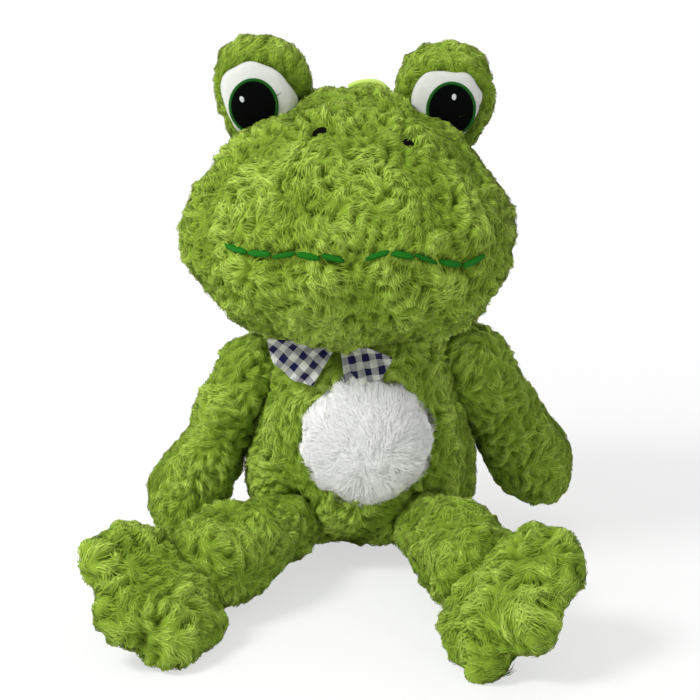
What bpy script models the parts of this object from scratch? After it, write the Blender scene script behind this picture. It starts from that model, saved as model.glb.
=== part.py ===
"""Sitting plush frog, about 35 cm tall.

The stuffed torso carries everything. The head rides on a round neck seat, the arms are sewn flat
against the shoulders, and the legs and three-toed feet are sewn on at round hip and ankle seams.
The frog sits on the floor at z = 0 and faces -Y. Left and right are the frog's own: its left is +X.
"""

import math
from dataclasses import dataclass

import bmesh
import bpy
import numpy as np
from mathutils import Matrix, Vector

# Clearances, in metres
SEAM_GAP = 0.0003  # between two pieces that are sewn together
TURN_GAP = 0.0004  # between two round seats that turn on each other
FLAT_DEPTH = 0.0005  # how deep a foot or leg is pressed flat where it rests
SEAT_FLAT_DEPTH = 0.0025  # and the torso, which carries most of the weight
CUT_OVERRUN = 0.02  # how far a cutter runs past what it cuts

# How finely each round form is faceted
HEAD_RINGS = 26
HEAD_AROUND = 36
TORSO_RINGS = 22
TORSO_AROUND = 32
DOME_RINGS = 14
DOME_AROUND = 20
LIMB_RINGS = 16
LIMB_AROUND = 18
FOOT_RINGS = 12
FOOT_AROUND = 36
SEAT_AROUND = 24
PATCH_AROUND = 28
NUDGE_SHARE = 0.005  # of a form's half width: the step over which its slope is measured

# Patches
PATCH_EDGE_SHARE = 0.45  # how much of a patch's thickness is drawn in at its edge

# Torso
TORSO_HALF_WIDTH = 0.0785
TORSO_HALF_DEPTH = 0.070
SEAT_ROUNDING = 0.050
SEAT_POWER = 2.1  # 2 is round, more is squarer
NECK_HEIGHT = 0.118
NECK_RADIUS = 0.062
NECK_MERGE = math.radians(20.0)  # how far up the neck seat the pear shape runs into it
PEAR_SHARES = (
    (0.0, 0.95),
    (0.35, 1.0),
    (0.5, 0.95),
    (0.61, 0.78),
    (0.72, 0.515),
    (0.85, 0.24),
    (1.0, 0.0),
)
SEAT_SETBACK = 0.0238  # how far the middle of the seat lies behind the neck
SEAT_LEAN_SHARES = ((0.0, 0.0), (0.35, 0.70), (0.8, 1.0), (1.0, 1.0))  # of the setback

# Disc of cloth that closes the top of the torso, between it and the head
NECK_DISC_RADIUS = 0.024
NECK_DISC_THICKNESS = 0.001

# Head
HEAD_HALF_WIDTH = 0.109
HEAD_HALF_DEPTH = 0.092
HEAD_LENGTH = 0.160
HEAD_SINK = 0.022  # how far the jaw comes down over the top of the neck seat
HEAD_JAW_SHARE = 0.375  # how much of the head's length rounds off at the jaw
HEAD_CROWN_SHARE = 0.625  # and at the crown
HEAD_JAW_POWER = 2.8  # 2 is round, more is squarer
HEAD_SECTION_POWER = 2.3
HEAD_SIDE_SHIFT = -0.013
HEAD_ROLL = math.radians(2.2)
HEAD_WIDTH_SHARES = (
    (0.0, 0.96),
    (0.2, 0.95),
    (0.33, 0.99),
    (0.42, 1.0),
    (0.55, 0.985),
    (0.7, 0.95),
    (1.0, 1.0),
)
HEAD_DEPTH_SHARES = ((0.0, 0.82), (0.2, 0.94), (0.35, 0.98), (0.5, 1.0), (0.7, 0.97), (1.0, 0.90))
HEAD_LEAN_SHARES = ((0.0, -0.12), (0.3, -0.19), (0.5, -0.20), (0.75, -0.13), (1.0, -0.05))

# Eye domes and the embroidery on them
DOME_HALF_WIDTH = 0.0315
DOME_HALF_HEIGHT = 0.0365
DOME_HALF_DEPTH = 0.024
DOME_SECTION_POWER = 2.2
DOME_SPACING = 0.1224
DOME_BELOW_CROWN = 0.0062
DOME_SETBACK = 0.010
IRIS_OUTWARD = 0.0034
LEFT_IRIS_DROP = 0.0006
RIGHT_IRIS_DROP = 0.0048  # this eye looks out from lower in its white
WHITE_OUTWARD = 0.0010
WHITE_DROP = 0.0006
LEFT_WHITE_HALF_WIDTH = 0.0242
LEFT_WHITE_HALF_HEIGHT = 0.0214
RIGHT_WHITE_HALF_WIDTH = 0.0260
RIGHT_WHITE_HALF_HEIGHT = 0.0240
WHITE_THICKNESS = 0.002
WHITE_POINT_SHARE = 0.16
WHITE_POINT_ANGLE = math.radians(-61.0)
WHITE_POINT_POWER = 6  # the more, the sharper the point
IRIS_HALF_WIDTH = 0.0165
IRIS_HALF_HEIGHT = 0.0185
IRIS_THREAD = 0.0022
THREAD_HEIGHT = 0.0008
HIGHLIGHT_HALF_WIDTH = 0.0017
HIGHLIGHT_HALF_HEIGHT = 0.0023
LEFT_HIGHLIGHT_SHIFT = 0.0014
LEFT_HIGHLIGHT_RISE = 0.0056
RIGHT_HIGHLIGHT_SHIFT = -0.0074
RIGHT_HIGHLIGHT_RISE = 0.0042

# Nostrils and mouth
NOSTRIL_SPACING = 0.056
NOSTRIL_SIDE_SHIFT = 0.0070
NOSTRIL_HEIGHT_SHARE = 0.8444  # of the head's length
NOSTRIL_TILT = math.radians(5.0)  # the frog's left nostril is the lower one
NOSTRIL_HALF_LENGTH = 0.0048
NOSTRIL_HALF_WIDTH = 0.0022
NOSTRIL_SLANT = math.radians(22.0)
MOUTH_HEIGHT_SHARE = 0.403  # of the head's length
MOUTH_RISE = 0.005
MOUTH_HALF_LENGTH = 0.080
MOUTH_CENTRE_GAP = 0.012
MOUTH_SIDE_SHIFT = 0.0040
LEFT_MOUTH_WAVE = 0.0050  # each run of stitches rises and falls along its way
RIGHT_MOUTH_WAVE = 0.0018
MOUTH_WAVE_TURNS_SHARE = 0.75
MOUTH_WAVE_START_SHARE = 0.2
MOUTH_STITCH_LENGTH = 0.0148
MOUTH_STITCH_RADIUS = 0.0022
MOUTH_STITCH_WAIST = 0.0009

# Ribbon loop on the crown
LOOP_WIDTH = 0.026
LOOP_HEIGHT = 0.0085
LOOP_BULGE = 0.0022
LOOP_RIBBON = 0.0009
LOOP_SIDE_SHIFT = 0.0067
LOOP_SETBACK = 0.004
LOOP_ROOT = 0.004

# Belly patch
BELLY_RADIUS = 0.0405
BELLY_HEIGHT_SHARE = 0.782  # of the neck's height
BELLY_SIDE_SHIFT = 0.0028
BELLY_PILE = 0.005

# Bow
BOW_SIDE_SHIFT = -0.0145
BOW_ABOVE_NECK = 0.0333
BOW_KNOT_HALF_WIDTH = 0.0050
BOW_KNOT_HALF_HEIGHT = 0.0058
BOW_KNOT_HALF_DEPTH = 0.0045
BOW_CLOTH = 0.0012
BOW_PLEAT_DEPTH = 0.0022
BOW_PLEATS = 3
BOW_FORWARD_DROOP = 0.0110
RIGHT_WING_LENGTH = 0.0465
LEFT_WING_LENGTH = 0.0350
RIGHT_WING_ANGLES = (math.radians(176.0), math.radians(236.0))
LEFT_WING_ANGLES = (math.radians(4.0), math.radians(-76.0))
RIGHT_WING_SHARES = ((0.0, 1.0), (0.35, 0.93), (0.7, 0.72), (1.0, 0.60))
LEFT_WING_SHARES = ((0.0, 0.86), (0.2, 1.0), (0.55, 0.90), (0.85, 0.68), (1.0, 0.60))

# Arms
SHOULDER_TILT = math.radians(25.0)
SHOULDER_SEAT_DEPTH = 0.0055  # how far in from the neck seat's radius the flat shoulder lies
SHOULDER_DROP = 0.0243
SHOULDER_SEAT_RADIUS = 0.030
ARM_LENGTH = 0.156
ARM_TOP = 0.024
ARM_HALF_WIDTH = 0.020
ARM_HALF_DEPTH = 0.0245
ARM_STAND_OFF = 0.017
HAND_CAP_SHARE = 1.3  # length of the hand's round end, of the arm's round top
ARM_WIDTH_SHARES = ((0.0, 1.12), (0.3, 1.10), (0.55, 1.18), (0.8, 1.34), (1.0, 1.25))
ARM_DEPTH_SHARES = ((0.0, 0.95), (0.3, 0.95), (0.55, 1.0), (0.8, 1.14), (1.0, 1.1))
ARM_OUTWARD_SHARES = ((0.0, 0.0), (0.4, 0.05), (0.8, 0.13), (1.0, 0.13))

# Legs, each from its hip to its ankle
HIP_HEIGHT = 0.034
HIP_SPACING = 0.092
HIP_SIDE_SHIFT = -0.003
HIP_STAND_OFF = 0.010  # how far the centre of the hip seam lies outside the torso's front
HIP_RADIUS = 0.021
ANKLE_RADIUS = 0.0265
LEG_LENGTH = 0.092
LEG_HALF_THICKNESS = 0.0300
LEG_FULLEST_SHARE = 0.60
LEG_NARROW_SHARE = 0.74  # of the leg's fullness, one hip radius out from the hip
HIP_LIFT = math.radians(35.0)  # how far a thigh can be lifted into the hollow over its hip
HIP_LIFT_SHARES = (0.5, 1.0)

# Feet
FOOT_REACH = 0.044
FOOT_HALF_LENGTH = 0.042
FOOT_HALF_WIDTH = 0.046
FOOT_HALF_THICKNESS = 0.0190
TOE_ANGLE = math.radians(54.0)
TOE_LENGTH = 0.0080
TOE_CREASE_SHARE = 0.42
TOE_REACH_SHARES = ((0.0, 1.0), (0.30, 1.0), (0.45, 0.0), (1.0, 0.0))


@dataclass(frozen=True)
class ArmPose:
    """How one arm hangs: swung back, splayed out from its seam, and how full it is stuffed."""

    swing: float
    splay: float
    fullness_share: float


@dataclass(frozen=True)
class LegPose:
    """How one leg lies: turned out from straight ahead, and the ways its foot points and spreads."""

    turnout: float
    foot_forward_shares: tuple
    foot_outward_shares: tuple


RIGHT_ARM = ArmPose(swing=0.0, splay=0.0, fullness_share=1.0)
LEFT_ARM = ArmPose(swing=math.radians(25.0), splay=math.radians(4.0), fullness_share=1.12)
RIGHT_LEG = LegPose(
    turnout=math.radians(33.0),
    foot_forward_shares=(-0.54, -0.84, -0.06),
    foot_outward_shares=(-0.72, 0.32, 0.61),
)
LEFT_LEG = LegPose(
    turnout=math.radians(13.0),
    foot_forward_shares=(0.44, -0.89, -0.08),
    foot_outward_shares=(0.68, 0.20, 0.70),
)

# Where everything turns
NECK_PIVOT = Vector((0, -SEAT_SETBACK, NECK_HEIGHT))


def between(stations, share):
    """Value at a share of the way through (share, value) stations, smooth and without overshoot.

    Each stretch is a cubic. Its slope at a station is the harmonic mean of the slopes on both
    sides, or zero where they differ in sign.
    """
    places = [place for place, _ in stations]
    values = [value for _, value in stations]
    share = min(max(share, places[0]), places[-1])
    steps = [b - a for a, b in zip(places, places[1:])]
    slopes = [(b - a) / step for a, b, step in zip(values, values[1:], steps)]
    tangents = [slopes[0]]
    for before, after in zip(slopes, slopes[1:]):
        tangents.append(2 * before * after / (before + after) if before * after > 0 else 0)
    tangents.append(slopes[-1])
    stretch = sum(share > place for place in places[1:-1])
    step = steps[stretch]
    t = (share - places[stretch]) / step
    return (
        values[stretch] * (1 + 2 * t) * (1 - t) ** 2
        + values[stretch + 1] * t * t * (3 - 2 * t)
        + tangents[stretch] * step * t * (1 - t) ** 2
        - tangents[stretch + 1] * step * t * t * (1 - t)
    )


@dataclass(frozen=True)
class StuffedForm:
    """A stuffed shape along its own +Z, from 0 to its length, round or squarish across.

    The ends round off over their cap lengths. Between them the half width (X) and the half depth
    (Y) swell by their shares, and the centre line leans along Y by shares of the half depth.
    """

    length: float
    half_width: float
    half_depth: float
    start_cap: float
    end_cap: float
    start_power: float = 2.0
    end_power: float = 2.0
    section_power: float = 2.0
    width_shares: tuple = ((0.0, 1.0), (1.0, 1.0))
    depth_shares: tuple = ((0.0, 1.0), (1.0, 1.0))
    lean_shares: tuple = ((0.0, 0.0), (1.0, 0.0))
    outward_shares: tuple = ((0.0, 0.0), (1.0, 0.0))

    def rounding(self, along):
        """How far the caps draw the section in at a place along the form, from 0 to 1."""
        start = max(0, 1 - along / self.start_cap)
        end = max(0, 1 - (self.length - along) / self.end_cap)
        start_share = max(0, 1 - start**self.start_power) ** (1 / self.start_power)
        return start_share * max(0, 1 - end**self.end_power) ** (1 / self.end_power)

    def section(self, along):
        """Half width, half depth and centre (X, Y) of the section at a place along the form."""
        share = along / self.length
        drawn = self.rounding(along)
        half_width = self.half_width * between(self.width_shares, share) * drawn
        half_depth = self.half_depth * between(self.depth_shares, share) * drawn
        centre_x = self.half_width * between(self.outward_shares, share)
        centre_y = self.half_depth * between(self.lean_shares, share)
        return half_width, half_depth, centre_x, centre_y

    def point(self, way):
        """Place on the surface for a point of the unit ball."""
        along = self.length * (1 + way.z) / 2
        half_width, half_depth, centre_x, centre_y = self.section(along)
        turn = math.atan2(way.y, way.x)
        across = math.copysign(abs(math.cos(turn)) ** (2 / self.section_power), math.cos(turn))
        deep = math.copysign(abs(math.sin(turn)) ** (2 / self.section_power), math.sin(turn))
        return Vector((centre_x + half_width * across, centre_y + half_depth * deep, along))

    def front(self, across, along):
        """Y of the front side at a place across and along the form."""
        half_width, half_depth, centre_x, centre_y = self.section(along)
        side = min(1, abs(across - centre_x) / half_width)
        return centre_y - half_depth * (1 - side**self.section_power) ** (1 / self.section_power)

    def outward(self, across, along):
        """Way out of the front side, square to the surface."""
        reach = self.half_width * NUDGE_SHARE
        slope_x = (self.front(across + reach, along) - self.front(across - reach, along)) / (2 * reach)
        slope_z = (self.front(across, along + reach) - self.front(across, along - reach)) / (2 * reach)
        return Vector((slope_x, -1, slope_z)).normalized()

    def on_front(self, across, along, lift):
        """Place at a height over the front side, square to the surface."""
        foot = Vector((across, self.front(across, along), along))
        return foot + self.outward(across, along) * lift

    def ball(self, rings, around, grow=0.0):
        """The form as a bmesh, made from a ball, grown outwards by a clearance."""
        bm = bmesh.new()
        bmesh.ops.create_uvsphere(bm, u_segments=around, v_segments=rings, radius=1)
        for vert in bm.verts:
            vert.co = self.point(vert.co)
        bmesh.ops.recalc_face_normals(bm, faces=bm.faces)
        bm.normal_update()
        if grow:
            for vert in bm.verts:
                vert.co += vert.normal * grow
        return bm


def clear_scene():
    """Remove every object that the file holds."""
    for old in list(bpy.data.objects):
        bpy.data.objects.remove(old, do_unlink=True)


def material(name, colour, roughness):
    """A plain cloth or thread material."""
    made = bpy.data.materials.new(name)
    made.use_nodes = True
    shader = made.node_tree.nodes["Principled BSDF"]
    shader.inputs["Base Color"].default_value = (*colour, 1)
    shader.inputs["Roughness"].default_value = roughness
    shader.inputs["Metallic"].default_value = 0
    return made


def add_object(name, bm, finish=None, place=None, parent=None):
    """Link a bmesh as an object, smooth shaded, at a place under a parent."""
    mesh = bpy.data.meshes.new(name)
    bm.to_mesh(mesh)
    bm.free()
    mesh.shade_smooth()
    made = bpy.data.objects.new(name, mesh)
    bpy.context.scene.collection.objects.link(made)
    if finish:
        mesh.materials.append(finish)
    made.parent = parent
    made.matrix_local = place or Matrix.Identity(4)
    return made


def add_empty(name, place, parent=None):
    """An empty on a joint's pivot, which carries what turns there."""
    made = bpy.data.objects.new(name, None)
    made.empty_display_size = NECK_RADIUS
    bpy.context.scene.collection.objects.link(made)
    made.parent = parent
    made.matrix_local = place
    return made


def make_cutter(made):
    """Turn an object into a guide that only cuts."""
    made.hide_render = True
    made.display_type = "WIRE"
    return made


def cut(target, cutter):
    """Take the cutter's shape out of the target."""
    boolean = target.modifiers.new("cut by " + cutter.name, "BOOLEAN")
    boolean.operation = "DIFFERENCE"
    boolean.solver = "EXACT"
    boolean.object = cutter


def box_bmesh(low, high):
    """A box between two corners."""
    bm = bmesh.new()
    bmesh.ops.create_cube(bm, size=1)
    low = Vector(low)
    high = Vector(high)
    for vert in bm.verts:
        vert.co = Vector((low[i] if vert.co[i] < 0 else high[i] for i in range(3)))
    return bm


def ball_bmesh(radius, around):
    """A ball whose flat facets all stay outside the radius, for cutting a round seat."""
    bm = bmesh.new()
    outside = radius / math.cos(math.pi / around) ** 2
    bmesh.ops.create_uvsphere(bm, u_segments=around, v_segments=around // 2, radius=outside)
    return bm


def frame_from(origin, x_axis, z_axis):
    """Matrix with an origin, a local X and a local Z, which needn't be quite square to X."""
    x_axis = Vector(x_axis).normalized()
    y_axis = Vector(z_axis).cross(x_axis).normalized()
    z_axis = x_axis.cross(y_axis)
    turned = Matrix((x_axis, y_axis, z_axis)).transposed().to_4x4()
    return Matrix.Translation(origin) @ turned


def patch_bmesh(form, centre, outline, low, high, rings, hole=0.0):
    """A patch sewn on the front of a form.

    outline gives the patch's (across, along) reach from its centre for an angle. The patch runs
    from a lift of low to a lift of high over the form, and high is drawn in towards its edge.
    With a hole, a share of the outline's reach, the patch is a ring.
    """
    bm = bmesh.new()
    around = PATCH_AROUND
    layers = []
    for lift, domed in ((low, False), (high, True)):
        loops = []
        for ring in range(0 if hole else 1, rings + 1):
            share = hole + (1 - hole) * ring / rings
            edge = abs(2 * (share - hole) / (1 - hole) - 1) if hole else share
            height = low + (lift - low) * (1 - PATCH_EDGE_SHARE * edge**4) if domed else lift
            loop = []
            for step in range(around):
                reach = outline(math.tau * step / around)
                across = centre[0] + reach[0] * share
                along = centre[1] + reach[1] * share
                loop.append(bm.verts.new(form.on_front(across, along, height)))
            loops.append(loop)
        for inner, outer in zip(loops, loops[1:]):
            for step in range(around):
                after = (step + 1) % around
                bm.faces.new((inner[step], inner[after], outer[after], outer[step]))
        if not hole:
            middle = bm.verts.new(form.on_front(centre[0], centre[1], lift))
            for step in range(around):
                bm.faces.new((middle, loops[0][(step + 1) % around], loops[0][step]))
        layers.append(loops)
    back, face = layers
    for edge in (-1, 0) if hole else (-1,):
        for step in range(around):
            after = (step + 1) % around
            bm.faces.new((back[edge][step], back[edge][after], face[edge][after], face[edge][step]))
    bmesh.ops.recalc_face_normals(bm, faces=bm.faces)
    return bm


def ellipse(half_width, half_height, slant=0.0):
    """Outline of an ellipse turned by a slant."""

    def reach(angle):
        x = half_width * math.cos(angle)
        z = half_height * math.sin(angle)
        return (
            x * math.cos(slant) - z * math.sin(slant),
            x * math.sin(slant) + z * math.cos(slant),
        )

    return reach


def make_torso(cloth):
    """Pear-shaped body: a flat seat below, a round neck seat above."""
    neck_share = NECK_RADIUS / TORSO_HALF_WIDTH
    neck_depth_share = NECK_RADIUS / TORSO_HALF_DEPTH
    length = SEAT_FLAT_DEPTH + NECK_HEIGHT + NECK_RADIUS
    merge_share = (SEAT_FLAT_DEPTH + NECK_HEIGHT + NECK_RADIUS * math.sin(NECK_MERGE)) / length
    widths = [(p * merge_share, neck_share + (1 - neck_share) * v) for p, v in PEAR_SHARES]
    depths = [(p * merge_share, neck_depth_share + (1 - neck_depth_share) * v) for p, v in PEAR_SHARES]
    setback_share = SEAT_SETBACK / TORSO_HALF_DEPTH
    leans = [(p * merge_share, -setback_share * v) for p, v in SEAT_LEAN_SHARES]
    form = StuffedForm(
        length=length,
        half_width=TORSO_HALF_WIDTH,
        half_depth=TORSO_HALF_DEPTH,
        start_cap=SEAT_ROUNDING,
        end_cap=NECK_RADIUS,
        start_power=SEAT_POWER,
        lean_shares=(*leans, (1.0, -setback_share)),
        width_shares=(*widths, (1.0, neck_share)),
        depth_shares=(*depths, (1.0, neck_depth_share)),
    )
    place = Matrix.Translation((0, 0, -SEAT_FLAT_DEPTH))
    torso = add_object("torso", form.ball(TORSO_RINGS, TORSO_AROUND), cloth, place)
    return torso, form, place


def make_floor_cutter():
    """Slab under the floor, which presses flat whatever rests there."""
    reach = HEAD_LENGTH * 2
    low = (-reach, -reach, -CUT_OVERRUN)
    return make_cutter(add_object("floor_guide", box_bmesh(low, (reach, reach, 0))))


def make_neck_disc(cloth, turning):
    """Round of cloth over the neck seat, a thin cap of the same centre as the seat."""
    inner = NECK_RADIUS + TURN_GAP
    outer = inner + NECK_DISC_THICKNESS
    opening = math.asin(NECK_DISC_RADIUS / NECK_RADIUS)
    bm = bmesh.new()
    steps = 5
    profile = [bm.verts.new((inner * math.sin(a), 0, inner * math.cos(a)))
               for a in np.linspace(0, opening, steps)]
    profile += [bm.verts.new((outer * math.sin(a), 0, outer * math.cos(a)))
                for a in np.linspace(opening, 0, steps)]
    edges = [bm.edges.new(pair) for pair in zip(profile, profile[1:])]
    bmesh.ops.spin(
        bm, geom=profile + edges, cent=(0, 0, 0), axis=(0, 0, 1), angle=math.tau, steps=20,
        use_merge=True,
    )
    bmesh.ops.remove_doubles(bm, verts=bm.verts, dist=SEAM_GAP / 10)
    bmesh.ops.recalc_face_normals(bm, faces=bm.faces)
    return add_object("neck_disc", bm, cloth, parent=turning)


def head_form():
    """The head: flat-bottomed and wide at the mouth, narrow at the crown."""
    return StuffedForm(
        length=HEAD_LENGTH,
        half_width=HEAD_HALF_WIDTH,
        half_depth=HEAD_HALF_DEPTH,
        start_cap=HEAD_LENGTH * HEAD_JAW_SHARE,
        end_cap=HEAD_LENGTH * HEAD_CROWN_SHARE,
        start_power=HEAD_JAW_POWER,
        section_power=HEAD_SECTION_POWER,
        width_shares=HEAD_WIDTH_SHARES,
        depth_shares=HEAD_DEPTH_SHARES,
        lean_shares=HEAD_LEAN_SHARES,
    )


def make_head(cloth, nodding):
    """Head with a round hollow under it that seats on the neck."""
    form = head_form()
    place = Matrix.Translation((HEAD_SIDE_SHIFT, 0, NECK_RADIUS - HEAD_SINK))
    head = add_object("head", form.ball(HEAD_RINGS, HEAD_AROUND), cloth, place, nodding)
    hollow = NECK_RADIUS + 2 * TURN_GAP + NECK_DISC_THICKNESS
    cut(head, make_cutter(add_object("neck_guide", ball_bmesh(hollow, HEAD_AROUND), parent=nodding)))
    grown_ball = form.ball(HEAD_RINGS, HEAD_AROUND, SEAM_GAP)
    grown = add_object("head_guide", grown_ball, None, place, nodding)
    return head, form, place, make_cutter(grown)


def make_eye(side, side_name, finishes, nodding, head_guide):
    """One eye: a stuffed dome behind the crown, with its white, iris ring, pupil and highlight."""
    dome = StuffedForm(
        length=2 * DOME_HALF_HEIGHT,
        half_width=DOME_HALF_WIDTH,
        half_depth=DOME_HALF_DEPTH,
        start_cap=DOME_HALF_HEIGHT,
        end_cap=DOME_HALF_HEIGHT,
        section_power=DOME_SECTION_POWER,
    )
    bottom = NECK_RADIUS - HEAD_SINK + HEAD_LENGTH - DOME_BELOW_CROWN - DOME_HALF_HEIGHT
    across = HEAD_SIDE_SHIFT + side * DOME_SPACING / 2
    place = Matrix.Translation((across, DOME_SETBACK, bottom))
    ball = dome.ball(DOME_RINGS, DOME_AROUND)
    pieces = [add_object(side_name + "_eye_dome", ball, finishes["pile"], place, nodding)]

    iris_drop = LEFT_IRIS_DROP if side > 0 else RIGHT_IRIS_DROP
    white_half_width = LEFT_WHITE_HALF_WIDTH if side > 0 else RIGHT_WHITE_HALF_WIDTH
    white_half_height = LEFT_WHITE_HALF_HEIGHT if side > 0 else RIGHT_WHITE_HALF_HEIGHT

    def white_outline(angle):
        turned = angle if side > 0 else math.pi - angle
        point = max(0, math.cos(turned - WHITE_POINT_ANGLE)) ** WHITE_POINT_POWER
        swell = 1 + WHITE_POINT_SHARE * point
        return (
            side * white_half_width * math.cos(turned) * swell,
            white_half_height * math.sin(turned) * swell,
        )

    centre = (side * IRIS_OUTWARD, DOME_HALF_HEIGHT - iris_drop)
    white_centre = (side * WHITE_OUTWARD, DOME_HALF_HEIGHT - WHITE_DROP)
    white_low = 2 * SEAM_GAP
    white_high = white_low + WHITE_THICKNESS
    thread_low = white_high + SEAM_GAP
    thread_high = thread_low + THREAD_HEIGHT
    pupil_share = (IRIS_HALF_WIDTH - IRIS_THREAD) / IRIS_HALF_WIDTH
    pupil_width = IRIS_HALF_WIDTH - IRIS_THREAD - SEAM_GAP
    pupil_height = IRIS_HALF_HEIGHT * pupil_share - SEAM_GAP
    shine_low = thread_high + SEAM_GAP
    shine_shift = LEFT_HIGHLIGHT_SHIFT if side > 0 else RIGHT_HIGHLIGHT_SHIFT
    shine_rise = LEFT_HIGHLIGHT_RISE if side > 0 else RIGHT_HIGHLIGHT_RISE
    shine_centre = (centre[0] + shine_shift, centre[1] + shine_rise)
    rows = (
        ("_eye_white", white_centre, white_outline, white_low, white_high, 4, 0.0, "white"),
        ("_iris_ring", centre, ellipse(IRIS_HALF_WIDTH, IRIS_HALF_HEIGHT), thread_low, thread_high, 2,
         pupil_share, "green_thread"),
        ("_pupil", centre, ellipse(pupil_width, pupil_height), thread_low, thread_high, 3, 0.0,
         "black_thread"),
        ("_eye_highlight", shine_centre, ellipse(HIGHLIGHT_HALF_WIDTH, HIGHLIGHT_HALF_HEIGHT), shine_low,
         shine_low + THREAD_HEIGHT, 1, 0.0, "white_thread"),
    )
    for suffix, middle, outline, low, high, rings, hole, finish in rows:
        bm = patch_bmesh(dome, middle, outline, low, high, rings, hole)
        pieces.append(add_object(side_name + suffix, bm, finishes[finish], place, nodding))
    for piece in pieces[:-1]:
        cut(piece, head_guide)
    return pieces


def make_nostril(side, side_name, thread, form, place, nodding):
    """One embroidered nostril, slanting down outwards."""
    across = side * NOSTRIL_SPACING / 2
    height = HEAD_LENGTH * NOSTRIL_HEIGHT_SHARE - across * math.tan(NOSTRIL_TILT)
    centre = (NOSTRIL_SIDE_SHIFT + across, height)
    outline = ellipse(NOSTRIL_HALF_LENGTH, NOSTRIL_HALF_WIDTH, -side * NOSTRIL_SLANT)
    bm = patch_bmesh(form, centre, outline, SEAM_GAP, SEAM_GAP + THREAD_HEIGHT, 2)
    return add_object(side_name + "_nostril", bm, thread, place, nodding)


def make_mouth_run(side, side_name, thread, form, place, nodding):
    """One run of mouth stitches: a cord that swells over each stitch, laid on the head."""
    run = MOUTH_HALF_LENGTH - MOUTH_CENTRE_GAP / 2
    stitches = round(run / MOUTH_STITCH_LENGTH)
    steps = stitches * 5
    wave = LEFT_MOUTH_WAVE if side > 0 else RIGHT_MOUTH_WAVE
    sides = 6
    bm = bmesh.new()
    loops = []
    for step in range(steps + 1):
        along_run = run * step / steps
        across = side * (MOUTH_CENTRE_GAP / 2 + along_run)
        height = HEAD_LENGTH * MOUTH_HEIGHT_SHARE + MOUTH_RISE * (across / MOUTH_HALF_LENGTH) ** 2
        turns = MOUTH_WAVE_TURNS_SHARE * (step / steps - MOUTH_WAVE_START_SHARE)
        height += wave * math.cos(math.tau * turns)
        across += MOUTH_SIDE_SHIFT
        swell = math.sqrt(abs(math.sin(math.pi * stitches * step / steps)))
        radius = MOUTH_STITCH_WAIST + (MOUTH_STITCH_RADIUS - MOUTH_STITCH_WAIST) * swell
        lift = MOUTH_STITCH_RADIUS + 2 * SEAM_GAP
        centre = form.on_front(across, height, lift)
        outward = form.outward(across, height)
        upward = Vector((0, 0, 1))
        upward = (upward - outward * upward.dot(outward)).normalized()
        loop = []
        for corner in range(sides):
            turn = math.tau * corner / sides
            loop.append(bm.verts.new(centre + (upward * math.cos(turn) + outward * math.sin(turn)) * radius))
        loops.append(loop)
    for before, after in zip(loops, loops[1:]):
        for corner in range(sides):
            beyond = (corner + 1) % sides
            bm.faces.new((before[corner], before[beyond], after[beyond], after[corner]))
    bm.faces.new(loops[0])
    bm.faces.new(loops[-1])
    bmesh.ops.recalc_face_normals(bm, faces=bm.faces)
    return add_object(side_name + "_mouth_stitches", bm, thread, place, nodding)


def make_hanging_loop(ribbon, form, place, nodding, head_guide):
    """Short ribbon folded over the crown, both ends in the crown seam."""
    bm = bmesh.new()
    steps = 8
    walls = []
    for thinner in (0, LOOP_RIBBON):
        bulge = LOOP_BULGE - thinner
        rise = LOOP_HEIGHT - LOOP_BULGE
        arch = [(bulge * math.cos(a), rise + bulge * math.sin(a)) for a in np.linspace(0, math.pi, steps)]
        walls.append([(bulge, -LOOP_ROOT), *arch, (-bulge, -LOOP_ROOT)])
    outer, inner = walls
    outline = outer + inner[::-1]
    left = LOOP_SIDE_SHIFT - LOOP_WIDTH / 2
    face = bm.faces.new([bm.verts.new((left, LOOP_SETBACK + y, HEAD_LENGTH + z)) for y, z in outline])
    grown = bmesh.ops.extrude_face_region(bm, geom=[face])
    moved = [item for item in grown["geom"] if isinstance(item, bmesh.types.BMVert)]
    bmesh.ops.translate(bm, verts=moved, vec=(LOOP_WIDTH, 0, 0))
    bmesh.ops.recalc_face_normals(bm, faces=bm.faces)
    loop = add_object("hanging_loop", bm, ribbon, place, nodding)
    cut(loop, head_guide)
    return loop


def make_belly_patch(pile, form, place):
    """Round patch of long white pile on the belly."""
    centre = (BELLY_SIDE_SHIFT, BELLY_HEIGHT_SHARE * NECK_HEIGHT + SEAT_FLAT_DEPTH)
    outline = ellipse(BELLY_RADIUS, BELLY_RADIUS)
    bm = patch_bmesh(form, centre, outline, SEAM_GAP, SEAM_GAP + BELLY_PILE, 6)
    return add_object("belly_patch", bm, pile, place)


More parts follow.
